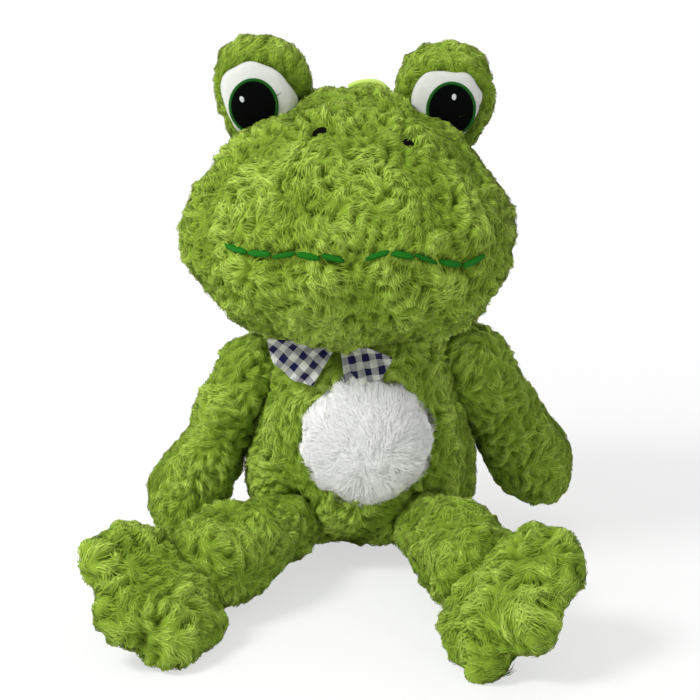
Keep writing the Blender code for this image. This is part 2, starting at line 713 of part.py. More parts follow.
def make_bow_wing(side_name, cloth, middle, length, angles, shares):
    """One wing of the bow: a pleated fan of cloth that hangs from the knot."""
    bm = bmesh.new()
    spans = 14
    reaches = 5
    start = max(BOW_KNOT_HALF_WIDTH, BOW_KNOT_HALF_HEIGHT) + 2 * SEAM_GAP
    layers = []
    for lift in (0, BOW_CLOTH):
        grid = []
        for span in range(spans + 1):
            share = span / spans
            angle = angles[0] + (angles[1] - angles[0]) * share
            reach = length * between(shares, share)
            line = []
            for step in range(reaches + 1):
                outward = step / reaches
                radius = start + (reach - start) * outward
                pleat = BOW_PLEAT_DEPTH * outward * math.cos(math.tau * BOW_PLEATS * share)
                y = middle.y - BOW_FORWARD_DROOP * outward - pleat - lift
                line.append(bm.verts.new(
                    (middle.x + radius * math.cos(angle), y, middle.z + radius * math.sin(angle))))
            grid.append(line)
        for before, after in zip(grid, grid[1:]):
            for step in range(reaches):
                bm.faces.new((before[step], before[step + 1], after[step + 1], after[step]))
        layers.append(grid)
    back, face = layers
    rims = (
        ([line[0] for line in back], [line[0] for line in face]),
        ([line[-1] for line in back], [line[-1] for line in face]),
        (back[0], face[0]),
        (back[-1], face[-1]),
    )
    for low, high in rims:
        for step in range(len(low) - 1):
            bm.faces.new((low[step], low[step + 1], high[step + 1], high[step]))
    bmesh.ops.recalc_face_normals(bm, faces=bm.faces)
    return add_object(side_name + "_bow_wing", bm, cloth)


def make_bow(cloth, torso_form):
    """Bow under the chin: a knot on the chest and a pleated wing on each side."""
    along = NECK_HEIGHT + BOW_ABOVE_NECK + SEAT_FLAT_DEPTH
    outward = torso_form.outward(BOW_SIDE_SHIFT, along)
    halves = Vector((BOW_KNOT_HALF_WIDTH, BOW_KNOT_HALF_DEPTH, BOW_KNOT_HALF_HEIGHT))
    stand_off = (outward * halves).length + SEAM_GAP
    middle = torso_form.on_front(BOW_SIDE_SHIFT, along, stand_off) - Vector((0, 0, SEAT_FLAT_DEPTH))
    knot = StuffedForm(
        length=2 * BOW_KNOT_HALF_HEIGHT,
        half_width=BOW_KNOT_HALF_WIDTH,
        half_depth=BOW_KNOT_HALF_DEPTH,
        start_cap=BOW_KNOT_HALF_HEIGHT,
        end_cap=BOW_KNOT_HALF_HEIGHT,
    )
    place = Matrix.Translation(middle - Vector((0, 0, BOW_KNOT_HALF_HEIGHT)))
    add_object("bow_knot", knot.ball(8, 12), cloth, place)
    make_bow_wing("right", cloth, middle, RIGHT_WING_LENGTH, RIGHT_WING_ANGLES, RIGHT_WING_SHARES)
    make_bow_wing("left", cloth, middle, LEFT_WING_LENGTH, LEFT_WING_ANGLES, LEFT_WING_SHARES)


def shoulder_frame(side):
    """Frame on a shoulder seam: local X out of the torso, local Z down the arm."""
    outward = Vector((side * math.cos(SHOULDER_TILT), 0, math.sin(SHOULDER_TILT)))
    downward = Vector((side * math.sin(SHOULDER_TILT), 0, -math.cos(SHOULDER_TILT)))
    pivot = NECK_PIVOT + outward * (NECK_RADIUS - SHOULDER_SEAT_DEPTH) + downward * SHOULDER_DROP
    return frame_from(pivot, outward, downward)


def make_arm(side, side_name, cloth, torso, pose):
    """One arm, sewn flat against the shoulder, and the flat that it leaves on the torso."""
    seam = shoulder_frame(side)
    low = (0, -SHOULDER_SEAT_RADIUS * 2, -SHOULDER_SEAT_RADIUS * 2)
    high = (CUT_OVERRUN, SHOULDER_SEAT_RADIUS * 2, SHOULDER_SEAT_RADIUS)
    cut(torso, make_cutter(add_object(side_name + "_shoulder_guide", box_bmesh(low, high), place=seam)))
    form = StuffedForm(
        length=ARM_LENGTH,
        half_width=ARM_HALF_WIDTH * pose.fullness_share,
        half_depth=ARM_HALF_DEPTH * pose.fullness_share,
        start_cap=ARM_TOP,
        end_cap=ARM_TOP * HAND_CAP_SHARE,
        width_shares=ARM_WIDTH_SHARES,
        depth_shares=ARM_DEPTH_SHARES,
        outward_shares=ARM_OUTWARD_SHARES,
    )
    bm = form.ball(LIMB_RINGS, LIMB_AROUND)
    bmesh.ops.translate(bm, verts=bm.verts, vec=(ARM_STAND_OFF, 0, -ARM_TOP))
    bmesh.ops.rotate(bm, verts=bm.verts, matrix=Matrix.Rotation(pose.splay, 3, "Y"))
    arm = add_object(side_name + "_arm", bm, cloth, seam @ Matrix.Rotation(side * pose.swing, 4, "X"))
    low = (-CUT_OVERRUN, -SHOULDER_SEAT_RADIUS * 2, -SHOULDER_SEAT_RADIUS * 2)
    high = (SEAM_GAP, SHOULDER_SEAT_RADIUS * 2, SHOULDER_SEAT_RADIUS * 2)
    seat = add_object(side_name + "_arm_guide", box_bmesh(low, high), parent=arm)
    cut(arm, make_cutter(seat))
    return arm


def leg_form(reach):
    """The leg along its own +Z from its hip seam to its ankle, with a ball at each end."""
    length = HIP_RADIUS + reach + ANKLE_RADIUS
    hip_share = HIP_RADIUS / LEG_HALF_THICKNESS
    ankle_share = ANKLE_RADIUS / LEG_HALF_THICKNESS
    swell = (
        (0.0, hip_share),
        (HIP_RADIUS / length, hip_share),
        (2 * HIP_RADIUS / length, LEG_NARROW_SHARE),
        (LEG_FULLEST_SHARE, 1.0),
        (1 - ANKLE_RADIUS / length, ankle_share),
        (1.0, ankle_share),
    )
    return StuffedForm(
        length=length,
        half_width=LEG_HALF_THICKNESS,
        half_depth=LEG_HALF_THICKNESS,
        start_cap=HIP_RADIUS,
        end_cap=ANKLE_RADIUS,
        width_shares=swell,
        depth_shares=swell,
    )


def make_leg(side, side_name, cloth, torso, torso_form, floor, pose):
    """One leg from its round hip seam to its ankle, and its three-toed foot, which finds the floor."""
    outward = Vector(pose.foot_outward_shares)
    forward = Vector(pose.foot_forward_shares).normalized()
    outward = (outward - forward * outward.dot(forward)).normalized()
    foot_turn = frame_from((0, 0, 0), outward, outward.cross(forward) * side)
    foot_bm = foot_bmesh(side)
    ankle_height = -min((foot_turn @ vert.co).z for vert in foot_bm.verts) - FLAT_DEPTH

    across = HIP_SIDE_SHIFT + side * HIP_SPACING / 2
    front = torso_form.front(across, HIP_HEIGHT + SEAT_FLAT_DEPTH)
    hip = Vector((across, front - HIP_STAND_OFF, HIP_HEIGHT))
    run = math.sqrt(LEG_LENGTH**2 - (HIP_HEIGHT - ankle_height) ** 2)
    ankle = hip + Vector((side * math.sin(pose.turnout), -math.cos(pose.turnout), 0)) * run
    ankle.z = ankle_height

    form = leg_form(LEG_LENGTH)
    leg_frame = frame_from(hip, Vector((0, 0, 1)).cross(ankle - hip), ankle - hip)
    from_hip = Matrix.Translation((0, 0, -HIP_RADIUS))
    leg = add_object(side_name + "_leg", form.ball(LIMB_RINGS, LIMB_AROUND), cloth, leg_frame)
    leg.data.transform(from_hip)
    socket = ball_bmesh(HIP_RADIUS + 2 * TURN_GAP, SEAT_AROUND)
    cut(torso, make_cutter(add_object(side_name + "_hip_guide", socket, place=leg_frame)))
    for number, share in enumerate(HIP_LIFT_SHARES):
        lifted = leg_frame @ Matrix.Rotation(-HIP_LIFT * share, 4, "X")
        thigh = form.ball(LIMB_RINGS, LIMB_AROUND, 2 * TURN_GAP)
        hollow = add_object(f"{side_name}_lifted_guide_{number}", thigh, place=lifted)
        hollow.data.transform(from_hip)
        cut(torso, make_cutter(hollow))

    foot_frame = Matrix.Translation(ankle) @ foot_turn
    foot = add_object(side_name + "_foot", foot_bm, cloth, foot_frame)
    ball = ball_bmesh(ANKLE_RADIUS + 2 * TURN_GAP, SEAT_AROUND)
    cut(foot, make_cutter(add_object(side_name + "_ankle_guide", ball, place=foot_frame)))
    cut(foot, floor)
    cut(leg, floor)


def foot_bmesh(side):
    """A foot as a flat pad with three rounded toes. Local X spreads the toes, Z is its top.

    The pad is a ball whose reach grows over each toe and whose thickness dips between them.
    """
    bm = bmesh.new()
    bmesh.ops.create_uvsphere(bm, u_segments=FOOT_AROUND, v_segments=FOOT_RINGS, radius=1)
    forward = side
    for vert in bm.verts:
        angle = math.atan2(vert.co.x, forward * vert.co.y)
        spread = math.hypot(vert.co.x, vert.co.y)
        ahead = between(TOE_REACH_SHARES, abs(angle) / math.pi)
        toe = 2 * math.sqrt(abs(math.cos(math.pi * angle / TOE_ANGLE))) - 1
        long = FOOT_HALF_LENGTH + TOE_LENGTH * ahead * toe
        wide = FOOT_HALF_WIDTH + TOE_LENGTH * ahead * toe
        crease = TOE_CREASE_SHARE * ahead * (1 - toe) / 2 * spread**3
        rounded = vert.co.z * (1 - crease)
        vert.co = Vector((
            wide * spread * math.sin(angle),
            forward * (FOOT_REACH + long * spread * math.cos(angle)),
            FOOT_HALF_THICKNESS * rounded,
        ))
    bmesh.ops.recalc_face_normals(bm, faces=bm.faces)
    return bm


def main():
    """Build the frog."""
    clear_scene()
    finishes = {
        "pile": material("green_pile", (0.27, 0.43, 0.045), 0.95),
        "white": material("white_felt", (0.86, 0.87, 0.86), 0.9),
        "green_thread": material("green_thread", (0.02, 0.22, 0.05), 0.5),
        "dark_thread": material("dark_thread", (0.05, 0.07, 0.02), 0.6),
        "black_thread": material("black_thread", (0.012, 0.012, 0.014), 0.45),
        "white_thread": material("white_thread", (0.9, 0.9, 0.9), 0.5),
    }
    belly_pile = material("white_pile", (0.88, 0.88, 0.88), 0.95)
    gingham = material("gingham_cotton", (0.35, 0.36, 0.5), 0.85)
    ribbon = material("lime_ribbon", (0.5, 0.78, 0.12), 0.55)
    backing = material("backing_cloth", (0.24, 0.38, 0.06), 0.9)

    torso, torso_form, torso_place = make_torso(finishes["pile"])
    floor = make_floor_cutter()
    cut(torso, floor)
    make_belly_patch(belly_pile, torso_form, torso_place)
    make_bow(gingham, torso_form)

    turning = add_empty("neck_turn_pivot", Matrix.Translation(NECK_PIVOT))
    make_neck_disc(backing, turning)
    nodding = add_empty("neck_nod_pivot", Matrix.Rotation(HEAD_ROLL, 4, "Y"), turning)
    head, form, place, head_guide = make_head(finishes["pile"], nodding)
    make_hanging_loop(ribbon, form, place, nodding, head_guide)
    for side, side_name in ((1, "left"), (-1, "right")):
        make_eye(side, side_name, finishes, nodding, head_guide)
        make_nostril(side, side_name, finishes["dark_thread"], form, place, nodding)
        make_mouth_run(side, side_name, finishes["green_thread"], form, place, nodding)

    make_arm(1, "left", finishes["pile"], torso, LEFT_ARM)
    make_arm(-1, "right", finishes["pile"], torso, RIGHT_ARM)
    make_leg(1, "left", finishes["pile"], torso, torso_form, floor, LEFT_LEG)
    make_leg(-1, "right", finishes["pile"], torso, torso_form, floor, RIGHT_LEG)


main()
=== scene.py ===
"""Looks of a seated plush frog: stuffed skins, swirled pile, embroidered face and gingham bow.

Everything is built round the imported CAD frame, in metres. The frog faces -Y and its left is +X.
Each stuffed CAD solid becomes a padded skin, and mesh strands of pile grow out of it in locks.
"""

import logging
import math
from dataclasses import dataclass
from enum import Enum
from typing import Callable, Sequence

import bmesh
import bpy
import numpy as np
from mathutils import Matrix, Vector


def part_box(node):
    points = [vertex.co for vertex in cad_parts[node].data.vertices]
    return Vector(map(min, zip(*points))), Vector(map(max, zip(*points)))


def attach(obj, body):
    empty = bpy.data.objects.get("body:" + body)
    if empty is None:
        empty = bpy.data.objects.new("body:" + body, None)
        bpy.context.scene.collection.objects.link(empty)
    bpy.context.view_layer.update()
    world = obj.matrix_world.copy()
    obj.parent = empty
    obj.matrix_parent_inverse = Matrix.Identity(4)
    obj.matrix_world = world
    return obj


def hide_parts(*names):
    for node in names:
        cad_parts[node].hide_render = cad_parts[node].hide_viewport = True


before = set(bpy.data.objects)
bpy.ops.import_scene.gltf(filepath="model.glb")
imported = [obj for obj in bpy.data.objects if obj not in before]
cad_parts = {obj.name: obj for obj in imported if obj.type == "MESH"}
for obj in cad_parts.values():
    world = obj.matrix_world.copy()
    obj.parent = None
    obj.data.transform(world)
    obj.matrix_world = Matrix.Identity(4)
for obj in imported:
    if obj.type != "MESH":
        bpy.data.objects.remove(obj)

LOG = logging.getLogger("plush_frog")
SEED = 20
SIDES = {"left": 1, "right": -1}  # the frog's own sides, by their direction along X
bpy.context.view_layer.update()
Shares = tuple[tuple[float, float], ...]


# Node maths


class Wire:
    """An output socket on which Python's arithmetic adds Math nodes."""

    def __init__(self, wiring: "Wiring", socket: bpy.types.NodeSocket) -> None:
        """Wrap a socket of a node tree."""
        self.wiring = wiring
        self.socket = socket

    def _maths(self, operation: str, first: object, second: object) -> "Wire":
        """Add a Math node with this operation on two values or wires."""
        return self.wiring.node("Math", {"operation": operation}, {0: first, 1: second})

    def __add__(self, other: object) -> "Wire":
        """Sum."""
        return self._maths("ADD", self, other)

    __radd__ = __add__

    def __mul__(self, other: object) -> "Wire":
        """Product."""
        return self._maths("MULTIPLY", self, other)

    __rmul__ = __mul__

    def __sub__(self, other: object) -> "Wire":
        """Difference."""
        return self._maths("SUBTRACT", self, other)

    def __rsub__(self, other: object) -> "Wire":
        """Difference, with the wire taken away."""
        return self._maths("SUBTRACT", other, self)

    def __truediv__(self, other: object) -> "Wire":
        """Quotient."""
        return self._maths("DIVIDE", self, other)

    def __gt__(self, other: object) -> "Wire":
        """One where the wire is greater, else zero."""
        return self._maths("GREATER_THAN", self, other)

    def repeats(self, span: float) -> "Wire":
        """How far along its repeat of this span the value is, from 0 to 1."""
        return self._maths("FRACT", self / span, 0)

    def wave(self) -> "Wire":
        """Sine of the value."""
        return self._maths("SINE", self, 0)


class Wiring:
    """A node tree of any kind."""

    def __init__(self, tree: bpy.types.NodeTree) -> None:
        """Wrap a tree."""
        self.tree = tree

    def join(self, wire: Wire, socket: bpy.types.NodeSocket) -> None:
        """Link a wire to an input socket."""
        self.tree.links.new(wire.socket, socket)

    def node(self, kind: str, settings: dict, values: dict, output: int | str = 0) -> Wire:
        """Add any node.

        Args:
            kind: its type without the ShaderNode in front.
            settings: its properties, set first; "stops" are a ramp's (place, colour) pairs.
            values: what its sockets hold, by index or name: a wire, a number or a colour.
            output: which output socket is wanted.

        Returns:
            That output as a wire.
        """
        made = self.tree.nodes.new("ShaderNode" + kind)
        for name, value in settings.items():
            if name == "stops":
                ramp = made.color_ramp
                while len(ramp.elements) < len(value):
                    ramp.elements.new(1)
                for element, (place, colour) in zip(ramp.elements, value):
                    element.position = place
                    element.color = (*colour, 1)
            else:
                setattr(made, name, value)
        for place, value in values.items():
            if isinstance(value, Wire):
                self.join(value, made.inputs[place])
            else:
                made.inputs[place].default_value = value
        return Wire(self, made.outputs[output])


class FinishTree(Wiring):
    """The node tree of one finish, with what is the same all over set on the shader itself."""

    def __init__(self, name: str, **constants: object) -> None:
        """Make a material with a Principled shader.

        Args:
            name: the material's name.
            constants: the shader's socket values, with _ for each space of their names.
        """
        self.material = bpy.data.materials.new(name)
        self.material.use_nodes = True
        super().__init__(self.material.node_tree)
        self.shader = self.tree.nodes["Principled BSDF"]
        for socket, value in constants.items():
            self.shader.inputs[socket.replace("_", " ")].default_value = value

    def feed(self, socket: str, wire: Wire) -> None:
        """Link a wire to one of the shader's sockets."""
        self.join(wire, self.shader.inputs[socket])

    def mix(self, share: object, first: object, second: object) -> Wire:
        """Colour between two colours."""
        ends = [end if isinstance(end, Wire) else (*end, 1) for end in (first, second)]
        return self.node("Mix", {"data_type": "RGBA"}, {0: share, 6: ends[0], 7: ends[1]}, 2)

    def scaled(self, colour: Wire, factor: object) -> Wire:
        """Colour times a factor."""
        return self.node("VectorMath", {"operation": "SCALE"}, {0: colour, "Scale": factor})

    def place(self, stretch: Sequence[float] = (1, 1, 1)) -> Wire:
        """Object coordinates, stretched along each axis."""
        where = self.node("TexCoord", {}, {}, "Object")
        return self.node("Mapping", {}, {0: where, "Scale": tuple(stretch)})

    def noise(self, where: Wire, scale: float, detail: float = 2) -> Wire:
        """Smooth noise between 0 and 1."""
        return self.node("TexNoise", {}, {"Vector": where, "Scale": scale, "Detail": detail})

    def attribute(self, name: str) -> Wire:
        """A number that the mesh stores at its points."""
        return self.node("Attribute", {"attribute_name": name}, {}, "Fac")

    def bump(self, height: Wire, depth: float, strength: float = 1) -> None:
        """Raise the surface by a height of 0 to 1 times a depth in metres."""
        values = {"Height": height, "Distance": depth, "Strength": strength}
        self.feed("Normal", self.node("Bump", {}, values, "Normal"))


# Finishes


Colour = tuple[float, float, float]


@dataclass(frozen=True)
class PileFinish:
    """Plush pile: painted shade, darker deep between the locks, and painted light, lighter on their
    crests.
    """

    deep: Colour
    middle: Colour
    crest: Colour
    tone_share: float = 0.12
    roughness: float = 0.85
    grain: float = 0.0
    fibre_scale: float = 900

    def make(self, name: str) -> bpy.types.Material:
        """Make the material. It reads "rise" and "tone", and adds a grain where there is one."""
        tree = FinishTree(name, Roughness=self.roughness, Specular_IOR_Level=0.2)
        stops = [(0.0, self.deep), (0.5, self.middle), (1.0, self.crest)]
        tone = tree.attribute("tone")
        if self.grain:
            fibres = tree.noise(tree.place(), self.fibre_scale, 3)
            tone = tone + fibres * 4 - 2
            tree.bump(fibres, self.grain)
        # The ramp by "rise" paints shade in the deep colour in the hollows between the locks, up to
        # painted light in the crest colour on their tops; "tone" varies it at random.
        colour = tree.node("ValToRGB", {"stops": stops}, {0: tree.attribute("rise")})
        tree.feed("Base Color", tree.scaled(colour, 1 + tone * self.tone_share))
        return tree.material


@dataclass(frozen=True)
class BackingFinish:
    """The knitted ground of a plush, seen between the locks, with the stubs of the pile on it."""

    shade: Colour
    light: Colour
    blotch_scale: float = 90
    stub_scale: float = 900
    stub_depth: float = 0.0006

    def make(self, name: str) -> bpy.types.Material:
        """Make the material: blotches of two tones and a grain of stubs."""
        tree = FinishTree(name, Roughness=0.92, Specular_IOR_Level=0.15)
        where = tree.place()
        blotches = tree.noise(where, self.blotch_scale, 4)
        stubs = tree.noise(where, self.stub_scale, 2)
        tree.feed("Base Color", tree.mix(blotches * 0.7 + stubs * 0.3, self.shade, self.light))
        tree.bump(stubs, self.stub_depth)
        return tree.material


@dataclass(frozen=True)
class FeltFinish:
    """Pressed felt: fine fibres in all directions and faint pilling."""

    colour: Colour
    dirt: Colour
    fibre_scale: float = 1500
    pill_scale: float = 220
    depth: float = 0.0009

    def make(self, name: str) -> bpy.types.Material:
        """Make the material: crossing fibres as bump, with a little soiling."""
        tree = FinishTree(name, Roughness=0.95, Specular_IOR_Level=0.1, Sheen_Weight=0.3)
        fibres = tree.noise(tree.place((1, 1, 4)), self.fibre_scale, 3)
        across = tree.noise(tree.place((4, 1, 1)), self.fibre_scale, 3)
        pills = tree.noise(tree.place(), self.pill_scale, 3)
        tree.feed("Base Color", tree.mix(pills * 0.35 + fibres * 0.15, self.colour, self.dirt))
        tree.bump(fibres * 0.4 + across * 0.4 + pills * 0.7, self.depth)
        return tree.material


@dataclass(frozen=True)
class ThreadFinish:
    """Satin stitch: threads side by side, each with its own gloss, and painted shade in the grooves
    between them.
    """

    colour: Colour
    shade: Colour
    pitch: float
    roughness: float = 0.45
    gloss: float = 0.35
    wobble_scale: float = 500

    def make(self, name: str) -> bpy.types.Material:
        """Make the material. It reads "stitch", the distance across the threads, in metres."""
        tree = FinishTree(name, Specular_IOR_Level=self.gloss)
        across = tree.attribute("stitch")
        wobble = tree.noise(tree.place(), self.wobble_scale, 2)
        turns = across * (2 * math.pi / self.pitch) + wobble * 1.5
        ridge = turns.wave() * 0.5 + 0.5
        # The shade colour in the grooves between the threads is painted shade; the wobble noise
        # varies the tone at random.
        tree.feed("Base Color", tree.mix(ridge * 0.75 + wobble * 0.25, self.shade, self.colour))
        tree.feed("Roughness", self.roughness + (1 - ridge) * 0.3)
        tree.bump(ridge, self.pitch * 0.4)
        return tree.material


@dataclass(frozen=True)
class GinghamFinish:
    """Woven checks: stripes of one width in warp and weft, mixed where only one of them is dyed."""

    dyed: Colour
    plain: Colour
    check: float
    yarn: float
    slub_scale: float = 400

    def make(self, name: str) -> bpy.types.Material:
        """Make the material. It reads the cloth's own UV map, in metres."""
        tree = FinishTree(name, Roughness=0.88, Specular_IOR_Level=0.2, Sheen_Weight=0.1)
        cloth = tree.node("UVMap", {"uv_map": "cloth"}, {})
        apart = {axis: tree.node("SeparateXYZ", {}, {0: cloth}, axis) for axis in "XY"}
        warp = apart["X"].repeats(2 * self.check) > 0.5
        weft = apart["Y"].repeats(2 * self.check) > 0.5
        turn = 2 * math.pi / self.yarn
        over = (apart["X"] * turn).wave() * (apart["Y"] * turn).wave()
        slub = tree.noise(tree.place(), self.slub_scale, 3)
        dye = (warp + weft) * 0.5 + over * 0.10 * (warp + weft) * (2 - warp - weft)
        colour = tree.mix(dye, self.plain, self.dyed)
        tree.feed("Base Color", tree.scaled(colour, 0.9 + slub * 0.2))
        tree.bump(over * 0.5 + 0.5, self.yarn * 0.3)
        return tree.material


@dataclass(frozen=True)
class RibbonFinish:
    """Satin ribbon: smooth, with fine ribs along it, painted shade in the troughs between them, and
    a soft gloss.
    """

    colour: Colour
    shade: Colour
    rib: float = 0.0007
    rib_depth: float = 0.00015
    cloud_scale: float = 160

    def make(self, name: str) -> bpy.types.Material:
        """Make the material: ribs across X, gloss broken a little by noise."""
        tree = FinishTree(name, Specular_IOR_Level=0.5, Sheen_Weight=0.2)
        where = tree.place()
        across = tree.node("SeparateXYZ", {}, {0: where}, "X")
        ribs = (across * (2 * math.pi / self.rib)).wave() * 0.5 + 0.5
        cloud = tree.noise(where, self.cloud_scale, 3)
        # The shade colour in the troughs between the ribs is painted shade; the cloud noise varies
        # the tone at random.
        tree.feed("Base Color", tree.mix(ribs * 0.5 + cloud * 0.5, self.shade, self.colour))
        tree.feed("Roughness", 0.36 + cloud * 0.2)
        tree.bump(ribs, self.rib_depth)
        return tree.material


class Finish(Enum):
    """Every finish on the frog, by the name of its material."""

    GREEN_PILE = "green_pile"
    WHITE_PILE = "white_pile"
    WHITE_FELT = "white_felt"
    GREEN_THREAD = "green_thread"
    DARK_THREAD = "dark_thread"
    BLACK_THREAD = "black_thread"
    WHITE_THREAD = "white_thread"
    GINGHAM = "gingham_cotton"
    RIBBON = "lime_ribbon"
    BACKING = "backing_cloth"


# Pile colours from deep to middle to crest: the deep colour is painted shade for the hollows
# between the locks, the crest colour painted light for their tops.
GREENS = ((0.024, 0.052, 0.002), (0.220, 0.345, 0.026), (0.455, 0.625, 0.095))
WHITES = ((0.88, 0.89, 0.87), (0.95, 0.96, 0.94), (0.97, 0.97, 0.95))


def place_object(name: str, data: bpy.types.ID) -> bpy.types.Object:
    """Make an object of some data and link it to the scene."""
    made = bpy.data.objects.new(name, data)
    bpy.context.scene.collection.objects.link(made)
    return made


class Wardrobe:
    """All the materials, and how a mesh becomes a piece in one of them."""

    def __init__(self) -> None:
        """Make every material, with a second one for the ground under each pile."""
        finishes = {
            "green_pile": PileFinish(*GREENS),
            "green_ground": PileFinish(*GREENS, grain=0.0008),
            "white_pile": PileFinish(*WHITES, tone_share=0.03),
            "white_ground": PileFinish(*WHITES, tone_share=0.03, grain=0.0005),
            "white_felt": FeltFinish((0.74, 0.76, 0.71), (0.56, 0.59, 0.53)),
            # The second colour of each thread below is painted shade for the grooves between its
            # threads.
            "green_thread": ThreadFinish(
                (0.013, 0.26, 0.007), (0.003, 0.105, 0.002), 0.00045, 0.55, 0.2),
            "ring_thread": ThreadFinish(
                (0.016, 0.16, 0.012), (0.004, 0.055, 0.003), 0.00045, 0.6, 0.15),
            "dark_thread": ThreadFinish(
                (0.005, 0.006, 0.003), (0.001, 0.0015, 0.001), 0.00045, 0.7, 0.04),
            "black_thread": ThreadFinish(
                (0.0016, 0.0022, 0.002), (0.0004, 0.0006, 0.0005), 0.0005, 0.7, 0.04),
            "white_thread": ThreadFinish((0.80, 0.82, 0.84), (0.55, 0.57, 0.60), 0.0004),
            "gingham_cotton": GinghamFinish(
                (0.005, 0.006, 0.066), (0.68, 0.70, 0.64), 0.0045, 0.0006),
            # The ribbon's second colour is painted shade for the troughs between its ribs.
            "lime_ribbon": RibbonFinish((0.63, 0.84, 0.14), (0.53, 0.74, 0.10)),
            "backing_cloth": BackingFinish((0.20, 0.32, 0.02), (0.36, 0.54, 0.06)),
        }
        self.made = {name: finish.make(name) for name, finish in finishes.items()}

    def dress(self, mesh: bpy.types.Mesh, finish: str) -> None:
        """Make a finish the only material of a mesh."""
        mesh.materials.clear()
        mesh.materials.append(self.made[finish])

    def add(self, mesh: bpy.types.Mesh, body: str, slot: Finish, replaces: Sequence[str] = (),
            finish: str = "") -> bpy.types.Object:
        """Link a mesh as a piece.

        Args:
            mesh: its surface.
            body: the body that it rides on.
            slot: the finish that it gets unless another one is named.
            replaces: the CAD nodes that it stands for.
            finish: the name of another finish.

        Returns:
            The piece.
        """
        self.dress(mesh, finish or slot.value)
        piece = place_object(mesh.name, mesh)
        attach(piece, body)
        if replaces:
            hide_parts(*replaces)
        LOG.info("%s: %d faces on %s", piece.name, len(mesh.polygons), body)
        return piece


# Meshes


def read_array(items: Sequence, key: str, width: int, kind: type) -> np.ndarray:
    """One value of every item, as an (n, width) array."""
    found = np.empty(len(items) * width, kind)
    items.foreach_get(key, found)
    return found.reshape(-1, width)


def write_array(items: Sequence, key: str, values: np.ndarray, kind: type = np.float32) -> None:
    """Set one value of every item, from an array of any shape."""
    items.foreach_set(key, values.astype(kind).ravel())


def coordinates(mesh: bpy.types.Mesh) -> np.ndarray:
    """A mesh's points as an (n, 3) array."""
    return read_array(mesh.vertices, "co", 3, np.float32).astype(float)


def outward(mesh: bpy.types.Mesh) -> np.ndarray:
    """A mesh's normals at its points as an (n, 3) array."""
    return read_array(mesh.vertex_normals, "vector", 3, np.float32).astype(float)


def move_points(mesh: bpy.types.Mesh, points: np.ndarray) -> None:
    """Put a mesh's points somewhere else."""
    write_array(mesh.vertices, "co", points)
    mesh.update()


def set_numbers(mesh: bpy.types.Mesh, name: str, values: np.ndarray) -> None:
    """Store a number at each point of a mesh."""
    write_array(mesh.attributes.new(name, "FLOAT", "POINT").data, "value", values)


def map_cloth(mesh: bpy.types.Mesh, flat: np.ndarray) -> None:
    """Map the weave to a mesh, from each point's place on the flat cloth in metres."""
    corners = read_array(mesh.loops, "vertex_index", 1, np.int32)[:, 0]
    write_array(mesh.uv_layers.new(name="cloth").uv, "vector", flat[corners])


def mesh_area(mesh: bpy.types.Mesh) -> float:
    """Area of all faces."""
    return sum(face.area for face in mesh.polygons)


def circle(count: int) -> np.ndarray:
    """Angles spread evenly round a full turn."""
    return np.linspace(0, 2 * math.pi, count, endpoint=False)


def turned(x: np.ndarray, z: np.ndarray, angle: float) -> tuple[np.ndarray, np.ndarray]:
    """Places in a plane, turned from X towards Z."""
    cos, sin = math.cos(angle), math.sin(angle)
    return x * cos - z * sin, x * sin + z * cos


def unit(vectors: np.ndarray) -> np.ndarray:
    """Vectors of length one in the same directions."""
    return vectors / np.maximum(np.linalg.norm(vectors, axis=-1, keepdims=True), 1e-12)


def grid_quads(rows: int, columns: int, wrap_columns: bool) -> np.ndarray:
    """Corners of the faces between a grid's points, which run row by row.

    Args:
        rows: how many rows of points.
        columns: how many points in a row.
        wrap_columns: whether each row closes on itself.

    Returns:
        Quads as an (n, 4) array. They face out where rows x columns does.
    """
    row = np.arange(rows - 1)[:, None]
    column = np.arange(columns if wrap_columns else columns - 1)[None, :]
    after = (column + 1) % columns
    corners = (row * columns + column, row * columns + after,
               (row + 1) * columns + after, (row + 1) * columns + column)
    size = (rows - 1, column.size)
    return np.stack([np.broadcast_to(c, size) for c in corners], -1).reshape(-1, 4)


def make_mesh(name: str, points: np.ndarray, quads: Sequence = (),
              triangles: Sequence = ()) -> bpy.types.Mesh:
    """A smooth mesh of quads and triangles, put in as whole arrays."""
    points = points.reshape(-1, 3)
    quads = np.asarray(quads, int).reshape(-1, 4)
    triangles = np.asarray(triangles, int).reshape(-1, 3)
    mesh = bpy.data.meshes.new(name)
    mesh.vertices.add(len(points))
    write_array(mesh.vertices, "co", points)
    corners = np.concatenate([quads.ravel(), triangles.ravel()])
    mesh.loops.add(len(corners))
    write_array(mesh.loops, "vertex_index", corners, np.int32)
    starts = np.concatenate([np.arange(len(quads)) * 4, quads.size + np.arange(len(triangles)) * 3])
    mesh.polygons.add(len(starts))
    write_array(mesh.polygons, "loop_start", starts, np.int32)
    mesh.update(calc_edges=True)
    mesh.shade_smooth()
    return mesh


def face_out(mesh: bpy.types.Mesh) -> bpy.types.Mesh:
    """Turn all faces of a closed mesh outwards."""
    bm = bmesh.new()
    bm.from_mesh(mesh)
    bmesh.ops.recalc_face_normals(bm, faces=bm.faces)
    bm.to_mesh(mesh)
    bm.free()
    mesh.shade_smooth()
    return mesh


